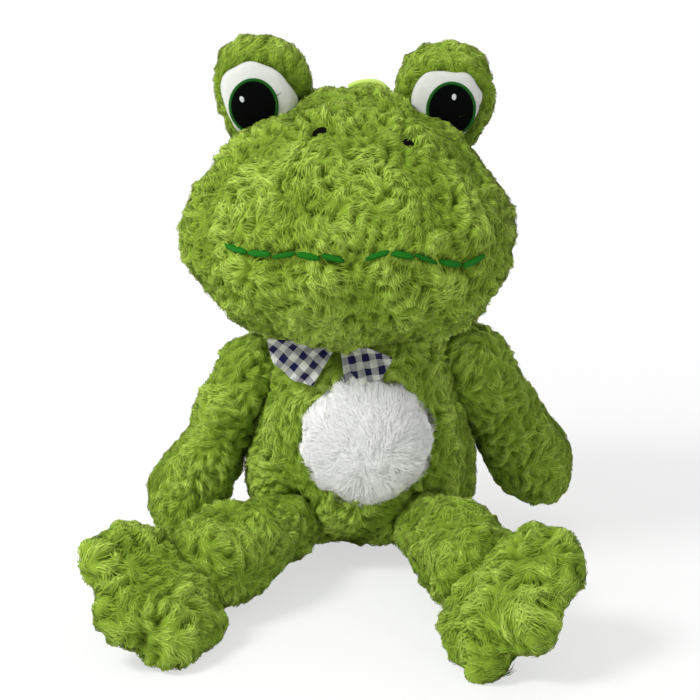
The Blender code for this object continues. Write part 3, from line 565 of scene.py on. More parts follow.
def closed_pad(name: str, front: np.ndarray, back: np.ndarray) -> bpy.types.Mesh:
    """A closed pad from two discs of points, each (rings, around, 3) from its middle to its rim.

    The first ring of each disc is its middle, where all points are one.
    """
    loops = np.concatenate([front[1:], back[:0:-1]])
    around = loops.shape[1]
    points = np.concatenate([front[0, :1], loops.reshape(-1, 3), back[0, :1]])
    quads = grid_quads(len(loops), around, True) + 1
    step = np.arange(around)
    after = (step + 1) % around
    last = len(points) - 1
    fans = np.concatenate([
        np.stack([0 * step, after + 1, step + 1], -1),
        np.stack([0 * step + last, last - around + step, last - around + after], -1),
    ])
    return face_out(make_mesh(name, points, quads[:, ::-1], fans))


def pad_numbers(disc: np.ndarray) -> np.ndarray:
    """The numbers of one (rings, around) disc, for the points of a closed pad of two such discs."""
    return np.concatenate([disc[0, :1], disc[1:].ravel(), disc[:0:-1].ravel(), disc[0, :1]])


def thicken(piece: bpy.types.Object, name: str, thickness: float) -> None:
    """Give a sheet its thickness, half of it to each side."""
    wall = piece.modifiers.new(name, "SOLIDIFY")
    wall.thickness = thickness
    wall.offset = 0


# Surfaces and where they are


def in_blocks(work: Callable[[np.ndarray], np.ndarray], places: np.ndarray,
              block: int) -> np.ndarray:
    """The joined results of a function that gets the places block by block, to spare memory."""
    block = max(1, block)
    starts = range(0, len(places), block)
    return np.concatenate([work(places[start : start + block]) for start in starts])


@dataclass
class Samples:
    """Points scattered evenly over a surface, with its normals there."""

    points: np.ndarray
    normals: np.ndarray
    corners: np.ndarray | None = None

    @classmethod
    def over(cls, mesh: bpy.types.Mesh, count: int, rng: np.random.Generator) -> "Samples":
        """Scatter points: triangles drawn by their area, then a random place in each."""
        mesh.calc_loop_triangles()
        corners = read_array(mesh.loop_triangles, "vertices", 3, np.int32)
        places, normals = coordinates(mesh), outward(mesh)
        a, b, c = (places[corners[:, i]] for i in range(3))
        area = np.linalg.norm(np.cross(b - a, c - a), axis=1)
        chosen = corners[rng.choice(len(area), count, p=area / area.sum())]
        u, v = rng.random((2, count, 1))
        flip = u + v > 1
        u, v = np.where(flip, 1 - u, u), np.where(flip, 1 - v, v)
        weights = np.concatenate([1 - u - v, u, v], 1)[:, :, None]
        normal = unit((normals[chosen] * weights).sum(1))
        return cls((places[chosen] * weights).sum(1), normal, chosen[:, 0])

    def where(self, kept: np.ndarray) -> "Samples":
        """The samples that are kept."""
        return Samples(self.points[kept], self.normals[kept], self.corners[kept])

    def nearest(self, places: np.ndarray) -> np.ndarray:
        """Index of the sample nearest to each place."""
        own = (self.points**2).sum(1)
        block = 20_000_000 // len(self.points)
        return in_blocks(lambda some: (own - 2 * some @ self.points.T).argmin(1), places, block)

    def height(self, places: np.ndarray) -> tuple[np.ndarray, np.ndarray]:
        """Height of each place over the surface, and how far off the nearest sample is."""
        near = self.nearest(places)
        gap = places - self.points[near]
        return (gap * self.normals[near]).sum(1), np.linalg.norm(gap, axis=1)


def between(stations: Shares, share: np.ndarray) -> np.ndarray:
    """Value at a share of the way through (share, value) stations.

    Each stretch is a cubic, with the harmonic mean of the slopes on both sides as its slope at a
    station, or zero where these differ in sign, so that nothing overshoots.
    """
    places, values = np.array(stations, float).T
    steps = np.diff(places)
    slopes = np.diff(values) / steps
    product = slopes[:-1] * slopes[1:]
    total = np.where(product > 0, slopes[:-1] + slopes[1:], 1)
    inner = np.where(product > 0, 2 * product / total, 0)
    tangents = np.concatenate([slopes[:1], inner, slopes[-1:]])
    share = np.clip(share, places[0], places[-1])
    stretch = np.clip(np.searchsorted(places, share) - 1, 0, len(steps) - 1)
    step = steps[stretch]
    t = (share - places[stretch]) / step
    return (
        values[stretch] * (1 + 2 * t) * (1 - t) ** 2
        + values[stretch + 1] * t * t * (3 - 2 * t)
        + tangents[stretch] * step * t * (1 - t) ** 2
        - tangents[stretch + 1] * step * t * t * (1 - t)
    )


@dataclass(frozen=True)
class StuffedForm:
    """A stuffed shape along its own +Z, round or squarish across, as the CAD source makes it."""

    length: float
    half_width: float
    half_depth: float
    start_cap: float
    end_cap: float
    start_power: float = 2.0
    section_power: float = 2.0
    width_shares: Shares = ((0.0, 1.0), (1.0, 1.0))
    depth_shares: Shares = ((0.0, 1.0), (1.0, 1.0))
    lean_shares: Shares = ((0.0, 0.0), (1.0, 0.0))

    def front(self, across: np.ndarray, along: np.ndarray) -> np.ndarray:
        """Y of the front side: a superellipse drawn in by the rounding at both ends."""
        share = along / self.length
        start = np.maximum(0, 1 - along / self.start_cap)
        end = np.maximum(0, 1 - (self.length - along) / self.end_cap)
        drawn = np.maximum(1e-6, 1 - start**self.start_power) ** (1 / self.start_power)
        drawn = drawn * np.sqrt(np.maximum(1e-6, 1 - end**2))
        half_width = self.half_width * between(self.width_shares, share) * drawn
        half_depth = self.half_depth * between(self.depth_shares, share) * drawn
        side = np.minimum(1, np.abs(across) / half_width)
        bow = (1 - side**self.section_power) ** (1 / self.section_power)
        return self.half_depth * between(self.lean_shares, share) - half_depth * bow

    def lifted(self, across: np.ndarray, along: np.ndarray, lift: np.ndarray) -> np.ndarray:
        """Points at a lift over the front side, square to it."""
        step = self.half_width * 0.005
        slope_x = (self.front(across + step, along) - self.front(across - step, along)) / (2 * step)
        slope_z = (self.front(across, along + step) - self.front(across, along - step)) / (2 * step)
        outward = unit(np.stack([slope_x, -np.ones_like(slope_x), slope_z], -1))
        foot = np.stack([across, self.front(across, along), along], -1)
        return foot + outward * np.asarray(lift)[..., None]


@dataclass(frozen=True)
class HeadPlace:
    """Where the head's own axes lie in the frame: it is rolled a little about Y, on the neck."""

    neck: tuple[float, float, float] = (0.0, -0.0238, 0.118)
    roll: float = math.radians(2.2)
    seat: tuple[float, float, float] = (-0.013, 0.0, 0.040)

    def to_frame(self, points: np.ndarray, offset: Sequence[float] = (0, 0, 0)) -> np.ndarray:
        """Turn points from the head's axes, moved by an offset in them, to the frame's."""
        x, y, z = np.moveaxis(points + np.array(offset), -1, 0)
        x, z = turned(x, z, -self.roll)
        return np.stack([x, y, z], -1) + np.array(self.neck)


HEAD_FORM = StuffedForm(
    length=0.160, half_width=0.109, half_depth=0.092, start_cap=0.060, end_cap=0.100,
    start_power=2.8, section_power=2.3,
    width_shares=(
        (0.0, 0.96), (0.2, 0.95), (0.33, 0.99), (0.42, 1.0), (0.55, 0.985), (0.7, 0.95),
        (1.0, 1.0),
    ),
    depth_shares=((0.0, 0.82), (0.2, 0.94), (0.35, 0.98), (0.5, 1.0), (0.7, 0.97), (1.0, 0.90)),
    lean_shares=((0.0, -0.12), (0.3, -0.19), (0.5, -0.20), (0.75, -0.13), (1.0, -0.05)),
)
DOME_FORM = StuffedForm(
    length=0.073, half_width=0.0315, half_depth=0.024, start_cap=0.0365, end_cap=0.0365,
    section_power=2.2,
)
HEAD = HeadPlace()


def on_head(across: np.ndarray, along: np.ndarray, lift: np.ndarray) -> np.ndarray:
    """Points at a lift over the head's front, in the frame."""
    return HEAD.to_frame(HEAD_FORM.lifted(across, along, lift), HEAD.seat)


# Stuffed skins


@dataclass(frozen=True)
class Push:
    """Uneven stuffing: skin near the place moves by the push, fading as a bell curve."""

    place: tuple[float, float, float]
    reach: float
    push: tuple[float, float, float]

    def press(self, points: np.ndarray) -> np.ndarray:
        """Give the points after the push."""
        near = np.exp(-((points - np.array(self.place)) ** 2).sum(1) / self.reach**2)
        return points + near[:, None] * np.array(self.push)


@dataclass
class StuffedSkin:
    """The cloth of one stuffed part: its CAD solid drawn in, blown up as cloth and smoothed."""

    node: str
    body: str
    fill: float = 0.7
    inset: float = 0.003
    voxel: float = 0.005
    most_swell: float = 0.0015
    pressure: float = 4.0
    last_frame: int = 20
    pushes: Sequence[Push] = ()

    def make(self, wardrobe: Wardrobe, slot: Finish, ground: str) -> bpy.types.Object:
        """Make the skin, as a padded piece that stands for its node."""
        piece = wardrobe.add(self._drawn_in(), self.body, slot, [self.node], ground)
        self._apply(piece, "REMESH", mode="VOXEL", voxel_size=self.voxel, use_smooth_shade=True)
        self._swell(piece)
        self._apply(piece, "SUBSURF", levels=2, render_levels=2)
        points = coordinates(piece.data)
        for push in self.pushes:
            points = push.press(points)
        points[:, 2] = np.maximum(points[:, 2], self.inset * 0.4)
        move_points(piece.data, points)
        wardrobe.dress(piece.data, ground)
        return piece

    def _drawn_in(self) -> bpy.types.Mesh:
        """A merged copy of the node's mesh, each point moved in along its normal."""
        bm = bmesh.new()
        bm.from_mesh(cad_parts[self.node].data)
        bmesh.ops.remove_doubles(bm, verts=bm.verts, dist=1e-5)
        bm.normal_update()
        mesh = bpy.data.meshes.new(self.node + "_skin")
        bm.to_mesh(mesh)
        bm.free()
        move_points(mesh, coordinates(mesh) - outward(mesh) * self.inset)
        return mesh

    def _apply(self, piece: bpy.types.Object, kind: str, **settings: object) -> None:
        """Add a modifier and make its result the piece's own mesh."""
        modifier = piece.modifiers.new(kind.lower(), kind)
        for name, value in settings.items():
            setattr(modifier, name, value)
        view = bpy.context.evaluated_depsgraph_get()
        result = bpy.data.meshes.new_from_object(piece.evaluated_get(view))
        result.name = piece.data.name
        piece.modifiers.clear()
        piece.data = result
        result.shade_smooth()

    def _swell(self, piece: bpy.types.Object) -> None:
        """Run the skin as cloth under pressure, and keep its movement up to the most swell."""
        start = coordinates(piece.data)
        cloth = piece.modifiers.new("cloth", "CLOTH")
        cloth.settings.use_pressure = True
        cloth.settings.uniform_pressure_force = self.pressure
        cloth.settings.effector_weights.gravity = 0
        cloth.point_cache.frame_end = self.last_frame
        scene = bpy.context.scene
        for number in range(1, self.last_frame + 1):
            scene.frame_set(number)
        view = bpy.context.evaluated_depsgraph_get()
        moved = coordinates(piece.evaluated_get(view).data) - start
        piece.modifiers.clear()
        far = np.linalg.norm(moved, axis=1, keepdims=True)
        kept = start + moved * np.minimum(1, self.most_swell / np.maximum(far, 1e-9))
        move_points(piece.data, kept)
        scene.frame_set(1)


# Pile


TRIM_SAMPLES = 1500
SOLID_SAMPLES = 5000
SAMPLES_PER_LOCK = 16
MOST_HAIRS = 32_000  # in one piece
SKIN_FLOOR = 0.0006  # no point of a raised skin lies lower
HAIR_FLOOR = 0.0002  # no point of a hair lies lower
ROOT_DEPTH = 0.0005  # how far under the skin a hair starts


@dataclass
class Parting:
    """A trim that the pile makes way for: locks are cleared under it and pressed low beside it."""

    node: str
    clears: float
    reach: float
    least: float = 0.3
    push: float = 1.0

    def of(self, places: np.ndarray) -> tuple[np.ndarray, np.ndarray, np.ndarray]:
        """Whether each place is kept, its share of the full height, and its way off the trim."""
        solid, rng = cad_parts[self.node].data, np.random.default_rng(SEED)
        trim = Samples.over(solid, TRIM_SAMPLES, rng).points
        near = Samples(trim, trim).nearest(places)
        away = places - trim[near]
        far = np.linalg.norm(away, axis=1)
        rise = np.clip((far - self.clears) / self.reach, 0, 1)
        rise = rise * rise * (3 - 2 * rise)
        push = unit(away) * (self.push * (1 - rise))[:, None]
        return far > self.clears, self.least + (1 - self.least) * rise, push


@dataclass(frozen=True)
class LockStyle:
    """How the pile of one part falls: sizes in metres, shares of one lock's own size."""

    spacing: float = 0.0080
    half_length: float = 0.0044
    half_width: float = 0.0058
    height: float = 0.0058
    dome_power: float = 0.6
    crest_share: float = 0.25
    back_share: float = 1.5
    curl_share: float = 0.35
    lump_share: float = 0.30
    lump_size: float = 0.030
    wander: float = 0.45
    wavelength: float = 0.045
    lie: tuple[float, float, float] = (0.0, 0.0, -0.7)
    hairs: float = 7.2e5  # in a square metre
    hair_length: float = 0.0066
    hair_half_width: float = 0.00034
    hair_lift: float = 0.0010
    fan_share: float = 0.5
    stray: float = 0.24
    swirl_share: float = 1.0
    own_share: float = 0.32
    most_back: float = 1.1  # hairs grow where the skin's normal has less than this along Y
    front_share: float = 0.0  # how much each hair's normal is turned to the front


@dataclass(frozen=True)
class Tuft:
    """A spot where the pile is fuller: how far round it, by how much, and which way it stands."""

    place: tuple[float, float, float]
    reach: float
    gain: float
    pull: tuple[float, float, float] = (0.0, 0.0, 0.0)

    def at(self, places: np.ndarray) -> tuple[np.ndarray, np.ndarray]:
        """How much fuller each place is, and its pull: both fade as a bell curve."""
        near = np.exp(-((places - np.array(self.place)) ** 2).sum(1) / self.reach**2)
        return self.gain * near, near[:, None] * np.array(self.pull)


class Swirl:
    """A smooth wandering vector at every place: a sum of sine waves in random directions."""

    def __init__(self, wavelength: float, rng: np.random.Generator, waves: int = 14) -> None:
        """Draw the waves."""
        ways = unit(rng.normal(size=(waves, 3)))
        self.ways = ways * (2 * math.pi / wavelength) * rng.uniform(0.6, 1.5, (waves, 1))
        self.starts = rng.uniform(0, 2 * math.pi, waves)
        self.pulls = rng.normal(size=(waves, 3)) / math.sqrt(waves)

    def at(self, places: np.ndarray) -> np.ndarray:
        """The vector at each place."""
        return np.sin(places @ self.ways.T + self.starts) @ self.pulls


@dataclass
class Relief:
    """The locks of a pile as overlapping domes on a skin, shallow behind and steep at the tip.

    Every array has one row for each lock; forward and side lie along the skin.
    """

    style: LockStyle
    centre: np.ndarray
    normal: np.ndarray
    forward: np.ndarray
    share: np.ndarray
    half: np.ndarray
    curl: np.ndarray
    near_count: int = 9
    least_q: float = 0.02
    join_power: int = 6

    def __post_init__(self) -> None:
        """Work out what follows from the rest."""
        self.side = np.cross(self.normal, self.forward)
        self.height = self.style.height * self.share

    def nearest(self, places: np.ndarray) -> np.ndarray:
        """The few locks nearest to each place, as an (n, few) array of indices."""
        few = min(self.near_count, len(self.centre) - 1)
        own = (self.centre**2).sum(1)
        return in_blocks(
            lambda some: np.argpartition(own - 2 * some @ self.centre.T, few, 1)[:, :few],
            places, 12_000_000 // len(self.centre))

    def settled(self, places: np.ndarray, near: np.ndarray) -> tuple[np.ndarray, np.ndarray]:
        """Bring places down to the skin, and give its normal there.

        The normal is a weighted mean of the near locks' normals. Between two points of an evenly
        curved skin the step is square to the mean of both normals, which gives the height over it.
        """
        gap = places[:, None] - self.centre[near]
        weight = np.exp(-(gap**2).sum(-1) / (0.8 * self.style.spacing) ** 2) + 1e-9
        weight /= weight.sum(1, keepdims=True)
        normal = unit((self.normal[near] * weight[..., None]).sum(1))
        over = ((gap * (self.normal[near] + normal[:, None])).sum(-1) * weight).sum(1) / 2
        return places - normal * over[:, None], normal

    def at(self, places: np.ndarray, near: np.ndarray) -> tuple[np.ndarray, ...]:
        """The pile's height and slope over places on the skin, and the lock that is on top there.

        A lock's dome is its height times a power of q = 1 - a^2 - b^2, where a is the distance from
        its crest along it, as a share of its reach that way, and b the distance to the side. The
        domes are joined as the sixth root of the sum of their sixth powers.

        Returns:
            Heights (n), slopes (n, 3), the top locks (n), and the places along and across them (n).
        """
        style = self.style
        gap = places[:, None] - self.centre[near]
        forward, side = self.forward[near], self.side[near]
        long, wide = self.half[near, 0], self.half[near, 1]
        along = (gap * forward).sum(-1) / long
        across = (gap * side).sum(-1) / wide - self.curl[near] * along**2
        past = along - style.crest_share
        reach = np.where(past > 0, 1 - style.crest_share, style.back_share)
        q = 1 - (past / reach) ** 2 - across**2
        inside = q > self.least_q
        q = np.maximum(q, self.least_q)
        height = self.height[near]
        dome = height * (q**style.dome_power - self.least_q**style.dome_power) + 1e-7
        total = (dome**self.join_power).sum(1) ** (1 / self.join_power)
        steep = inside * height * style.dome_power * q ** (style.dome_power - 1)
        steep = steep * (dome / total[:, None]) ** (self.join_power - 1)
        slope = (forward * (steep * -2 * past / reach**2 / long)[..., None]).sum(1)
        slope += (side * (steep * -2 * across / wide)[..., None]).sum(1)
        best = (dome - (gap**2).sum(-1) * 1e-3).argmax(1)
        row = np.arange(len(best))
        return total, slope, near[row, best], along[row, best], across[row, best]


# One hair: a root, a ring of three points halfway and a tip, closed by six triangles
HAIR_STATION = np.array([0, 1, 1, 1, 2])
HAIR_ACROSS = np.array([0.0, -1.0, 1.0, 0.0, 0.0])
HAIR_UP = np.array([0.0, 0.25, 0.25, -0.6, 0.0])
HAIR_FACES = np.array([[0, 2, 1], [0, 3, 2], [0, 1, 3], [1, 2, 4], [2, 3, 4], [3, 1, 4]])
HAIR_SPOTS = np.array([  # where the corners lie in the hair's own cell of the bake map
    [[0.25, 0.04], [0.44, 0.5], [0.06, 0.5]], [[0.58, 0.04], [0.70, 0.5], [0.46, 0.5]],
    [[0.83, 0.04], [0.94, 0.5], [0.72, 0.5]], [[0.06, 0.5], [0.44, 0.5], [0.25, 0.96]],
    [[0.46, 0.5], [0.70, 0.5], [0.58, 0.96]], [[0.72, 0.5], [0.94, 0.5], [0.83, 0.96]],
])


@dataclass
class PileCoat:
    """The pile of one part: its skin raised into locks, and the hairs that lie over them."""

    name: str
    skin: bpy.types.Object
    body: str
    style: LockStyle
    rng: np.random.Generator
    partings: Sequence[Parting] = ()
    neighbours: Sequence[Samples] = ()
    tufts: Sequence[Tuft] = ()
    draw: Callable[[np.ndarray], np.ndarray] | None = None

    def grow(self, wardrobe: Wardrobe, slot: Finish) -> int:
        """Raise the skin and grow the hairs in pieces of a limited size.

        Returns:
            How many triangles there are.
        """
        style, mesh = self.style, self.skin.data
        area = mesh_area(mesh)
        samples = int(area / style.spacing**2 * SAMPLES_PER_LOCK)
        relief = self._relief(Samples.over(mesh, samples, self.rng))
        points, normals = coordinates(mesh), outward(mesh)
        near = relief.nearest(points)
        roots = Samples.over(mesh, int(area * style.hairs), self.rng)
        roots = roots.where(roots.normals[:, 1] < style.most_back)
        hairs = self._hairs(relief, roots, near[roots.corners])
        height = relief.at(points, near)[0]
        LOG.info("%s: area %.4f, %d locks, height %.4f +- %.4f", self.name, area,
                 len(relief.centre), height.mean(), height.std())
        points = points + normals * height[:, None]
        points[:, 2] = np.maximum(points[:, 2], SKIN_FLOOR)
        move_points(mesh, points)
        # Colour share by height: painted shade where the raised skin lies low between the locks.
        set_numbers(mesh, "rise", 0.22 + 0.30 * height / style.height)
        set_numbers(mesh, "tone", 0 * height)
        count = len(hairs[0])
        parts = math.ceil(count / MOST_HAIRS)
        for number, chosen in enumerate(np.array_split(np.arange(count), parts)):
            name = f"{self.name}_pile" + (f"_{number + 1}" if parts > 1 else "")
            wardrobe.add(self._piece(name, [values[chosen] for values in hairs]), self.body, slot)
        return 6 * count + 2 * len(mesh.polygons)

    def _relief(self, ground: Samples) -> Relief:
        """Place the locks and fit each one to what is near it.

        One sample is kept in each cube of the spacing, and these are spread evenly: each one moves
        twice to the mean of the samples that are nearest to it. Locks deep inside a neighbour go,
        and those that press on one stay low.
        """
        style, rng = self.style, self.rng
        cubes = np.floor(ground.points / style.spacing).astype(int)
        places = ground.points[np.unique(cubes, axis=0, return_index=True)[1]]
        for _ in range(2):
            near = Samples(places, places).nearest(ground.points)
            count = np.bincount(near, minlength=len(places))
            total = [np.bincount(near, ground.points[:, axis], len(places)) for axis in range(3)]
            places = np.stack(total, -1)[count > 0] / count[count > 0, None]
        chosen = np.unique(ground.nearest(places))
        places, normals = ground.points[chosen], ground.normals[chosen]
        lumps, swirl = Swirl(style.lump_size, rng), Swirl(style.wavelength, rng)
        share = 1 + style.lump_share * np.clip(lumps.at(places)[:, 0] * 1.4, -1, 1)
        share *= rng.uniform(0.8, 1.2, len(places))
        ways = np.zeros_like(places)
        for tuft in self.tufts:
            fuller, way = tuft.at(places)
            share = share + fuller
            ways += way
        kept = np.ones(len(places), bool)
        for parting in self.partings:
            clear, low, away = parting.of(places)
            kept &= clear
            share = np.minimum(share, low * np.maximum(1, share))
            ways += away
        for neighbour in self.neighbours:
            over, far = neighbour.height(places + normals * style.height * 0.5)
            kept &= over > -np.maximum(style.height * 1.5, 0.7 * far)
            pressed = np.clip(0.7 + over / style.height * 0.3, 0.6, 1)
            share = share * np.where(far < style.height * 3, pressed, 1)
        pull = swirl.at(places) * style.swirl_share + np.array(style.lie) + ways * 1.5
        if self.draw is not None:
            pull = pull + self.draw(places)
        pull = pull + rng.normal(size=places.shape) * style.wander
        forward = unit(pull - normals * (pull * normals).sum(1, keepdims=True))
        aspect = rng.uniform(0.8, 1.25, (len(places), 1))
        size = rng.uniform(0.85, 1.2, (len(places), 1))
        length, width = style.half_length * size * aspect, style.half_width * size / aspect
        half = np.concatenate([length, width], 1)
        curl = style.curl_share * rng.uniform(-1, 1, len(places))
        rows = (places, normals, forward, share, half, curl)
        return Relief(style, *(values[kept] for values in rows))

    def _hairs(self, relief: Relief, roots: Samples, near: np.ndarray) -> list[np.ndarray]:
        """The hairs: each lies over its lock, fans out a little and ends free over the next one.

        Returns:
            Points (n, 5, 3), normals (n, 5, 3), rises (n, 5) and tones (n, 5).
        """
        style, rng = self.style, self.rng
        start, slope, lock, along, across = relief.at(roots.points, near)
        far = np.linalg.norm(roots.points - relief.centre[lock], axis=1)
        kept = far < style.spacing * 1.6
        start, slope, lock, along, across, near = (
            values[kept] for values in (start, slope, lock, along, across, near))
        places, up = roots.points[kept], roots.normals[kept]
        half, share = relief.half[lock], relief.share[lock]
        turn = style.fan_share * across + 2 * relief.curl[lock] * along * half[:, 1] / half[:, 0]
        way = relief.forward[lock] + relief.side[lock] * turn[:, None]
        way = way + rng.normal(size=way.shape) * style.stray
        way = unit(way - up * (way * up).sum(1, keepdims=True))
        length = style.hair_length * rng.uniform(0.7, 1.25, len(lock)) * (0.5 + 0.5 * share)
        lift = style.hair_lift * rng.uniform(0.2, 1.3, len(lock)) * (0.4 + 0.6 * share)
        line = [places + up * (start - ROOT_DEPTH)[:, None]]
        face, rise = [unit(up - slope)], [start]
        for part, least, swell in ((0.5, 0.6, 1.0), (1.0, 0.15, 0.9)):
            on_skin, normal = relief.settled(places + way * (length * part)[:, None], near)
            height, slope = relief.at(on_skin, near)[:2]
            height = np.maximum(height, start * least)
            line.append(on_skin + normal * (height + lift * swell)[:, None])
            face.append(unit(normal - slope))
            rise.append(height)
        line, face, rise = np.stack(line, 1), np.stack(face, 1), np.stack(rise, 1)
        across_line = unit(np.cross(line[:, 2] - line[:, 0], up))[:, None]
        width = style.hair_half_width * rng.uniform(0.7, 1.25, (len(line), 1, 1))
        own = across_line * HAIR_ACROSS[:, None] + up[:, None] * HAIR_UP[:, None]
        points = line[:, HAIR_STATION] + own * width
        points[..., 2] = np.maximum(points[..., 2], HAIR_FLOOR)
        random = rng.normal(size=(len(line), 1, 3)) * style.own_share * 0.45
        front = np.array((0.0, -1.0, 0.3)) * style.front_share
        normals = unit(face[:, HAIR_STATION] + own * style.own_share + random + front)
        # Colour share by the relief's height under each station: painted shade low between the
        # locks, painted light on the crests, and a little lighter towards the tip.
        rise = 0.12 + 0.62 * rise / style.height + 0.12 * np.arange(3) * 0.5
        tone = np.broadcast_to(rng.normal(size=(len(line), 1)), (len(line), 5))
        return [points, normals, np.clip(rise, 0, 1)[:, HAIR_STATION], tone]

    def _piece(self, name: str, hairs: list[np.ndarray]) -> bpy.types.Mesh:
        """The mesh of closed hairs, each with its own cell of the bake map."""
        points, normals, rise, tone = hairs
        number = np.arange(len(points))
        mesh = make_mesh(name, points, triangles=(number * 5)[:, None, None] + HAIR_FACES)
        mesh.normals_split_custom_set_from_vertices(normals.reshape(-1, 3))
        set_numbers(mesh, "rise", rise)
        set_numbers(mesh, "tone", tone)
        cells = math.ceil(math.sqrt(len(points)))
        corner = np.stack([number % cells, number // cells], -1)[:, None, None]
        layer = mesh.uv_layers.new(name="OFBake")
        write_array(layer.uv, "vector", (corner + HAIR_SPOTS) / cells)
        return mesh


# The stuffed parts


PUSHES = {
    "head": (
        Push((-0.050, -0.042, 0.304), 0.024, (0.0, 0.0020, -0.0095)),
        Push((0.034, -0.040, 0.310), 0.014, (0.0, 0.0010, -0.0040)),
        Push((-0.105, -0.056, 0.187), 0.022, (0.0070, 0.0, 0.0030)),
        Push((0.089, -0.058, 0.187), 0.022, (-0.0060, 0.0, 0.0025)),
        Push((-0.093, -0.036, 0.280), 0.018, (0.0035, 0.0, -0.0035)),
        Push((0.080, -0.036, 0.274), 0.018, (-0.0030, 0.0, -0.0030)),
    ),
    "right_eye_dome": (
        Push((-0.086, -0.014, 0.345), 0.013, (-0.0045, 0.0, 0.0020)),
        Push((-0.096, -0.020, 0.301), 0.016, (0.0085, 0.0, 0.0)),
    ),
    "left_eye_dome": (
        Push((0.036, -0.014, 0.342), 0.012, (-0.0030, 0.0, 0.0015)),
        Push((0.080, -0.014, 0.340), 0.012, (0.0030, 0.0, 0.0015)),
        Push((0.084, -0.014, 0.293), 0.014, (-0.0055, 0.0, 0.0)),
    ),
    "torso": (
        Push((0.0, -0.040, 0.008), 0.030, (0.0, 0.0020, 0.0060)),
        Push((-0.048, 0.0, 0.148), 0.020, (0.0, -0.0040, 0.0060)),
        Push((0.048, 0.0, 0.148), 0.020, (0.0, -0.0040, 0.0060)),
    ),
    "right_arm": (Push((-0.122, -0.028, 0.088), 0.020, (0.0045, 0.0, 0.0)),),
    "left_arm": (
        Push((0.142, 0.005, 0.075), 0.020, (-0.0040, 0.0, 0.0)),
        Push((0.128, -0.012, 0.040), 0.018, (0.0, 0.0, -0.0050)),
        Push((0.081, -0.013, 0.150), 0.018, (0.0030, 0.0, 0.0050)),
    ),
    "left_leg": (Push((0.048, -0.140, 0.050), 0.040, (0.0070, 0.0, 0.0020)),),
    "left_foot": (
        Push((0.101, -0.225, 0.019), 0.022, (-0.0080, 0.0040, 0.0020)),
        Push((0.113, -0.196, 0.069), 0.020, (0.0050, 0.0, 0.0060)),
    ),
    "right_foot": (
        Push((-0.162, -0.192, 0.039), 0.022, (0.0070, 0.0, 0.0)),
        Push((-0.154, -0.180, 0.063), 0.018, (-0.0040, 0.0, 0.0050)),
    ),
    "belly_patch": (Push((0.0, -0.060, 0.080), 0.200, (0.0, 0.0, 0.0022)),),
}
HEAD_PILE = LockStyle(height=0.0064, lump_share=0.35)
TORSO_PILE = LockStyle(spacing=0.0070, half_length=0.0054, half_width=0.0043, height=0.0054,
                       wavelength=0.040)
FOOT_PILE = LockStyle(spacing=0.0084, half_length=0.0058, half_width=0.0050, height=0.0062,
                      hair_length=0.0080, wavelength=0.05)
DOME_PILE = LockStyle(spacing=0.0070, half_length=0.0050, half_width=0.0052, height=0.0052,
                      hair_length=0.0070, lie=(0.0, 0.0, 0.3), lump_share=0.15, own_share=0.22)
BELLY_PILE = LockStyle(
    spacing=0.0065, half_length=0.0090, half_width=0.0070, height=0.0014, curl_share=0.1,
    lump_share=0.1, wander=0.15, wavelength=0.05, lie=(0.0, 0.0, 0.0), hairs=2.8e6,
    hair_length=0.0088, hair_half_width=0.00020, hair_lift=0.0016, fan_share=0.1, stray=0.27,
    swirl_share=0.15, own_share=0.06, most_back=0.3, front_share=0.8,
)
KINDS = {  # by the last word of a node's name: its pile, and the inset and voxel of its skin
    "head": (HEAD_PILE, 0.0030, 0.006),
    "dome": (DOME_PILE, 0.0010, 0.005),
    "torso": (TORSO_PILE, 0.0030, 0.006),
    "arm": (TORSO_PILE, 0.0030, 0.006),
    "leg": (TORSO_PILE, 0.0030, 0.006),
    "foot": (FOOT_PILE, 0.0030, 0.005),
}
TUFTS = {
    "head": (
        Tuft((-0.022, -0.088, 0.160), 0.034, 1.1, (0.0, -0.3, -1.0)),
        Tuft((-0.054, -0.045, 0.163), 0.016, 1.2, (0.0, 0.0, -1.5)),
        Tuft((0.052, -0.055, 0.164), 0.016, 1.2, (0.0, 0.0, -1.5)),
        Tuft((-0.001, -0.045, 0.313), 0.016, 0.5, (0.0, 0.0, 0.8)),
    ),
    "right_eye_dome": (Tuft((-0.038, -0.026, 0.340), 0.009, 0.7, (1.0, 0.0, 1.2)),),
    "left_arm": (Tuft((0.062, -0.045, 0.160), 0.022, 2.0, (-0.9, 0.0, 1.2)),),
    "right_arm": (Tuft((-0.058, -0.045, 0.160), 0.022, 2.0, (0.9, 0.0, 1.2)),),
    "torso": (
        Tuft((0.050, -0.045, 0.157), 0.022, 2.0, (1.0, 0.0, 1.0)),
        Tuft((-0.048, -0.045, 0.157), 0.022, 2.0, (-1.0, 0.0, 1.0)),
    ),
}


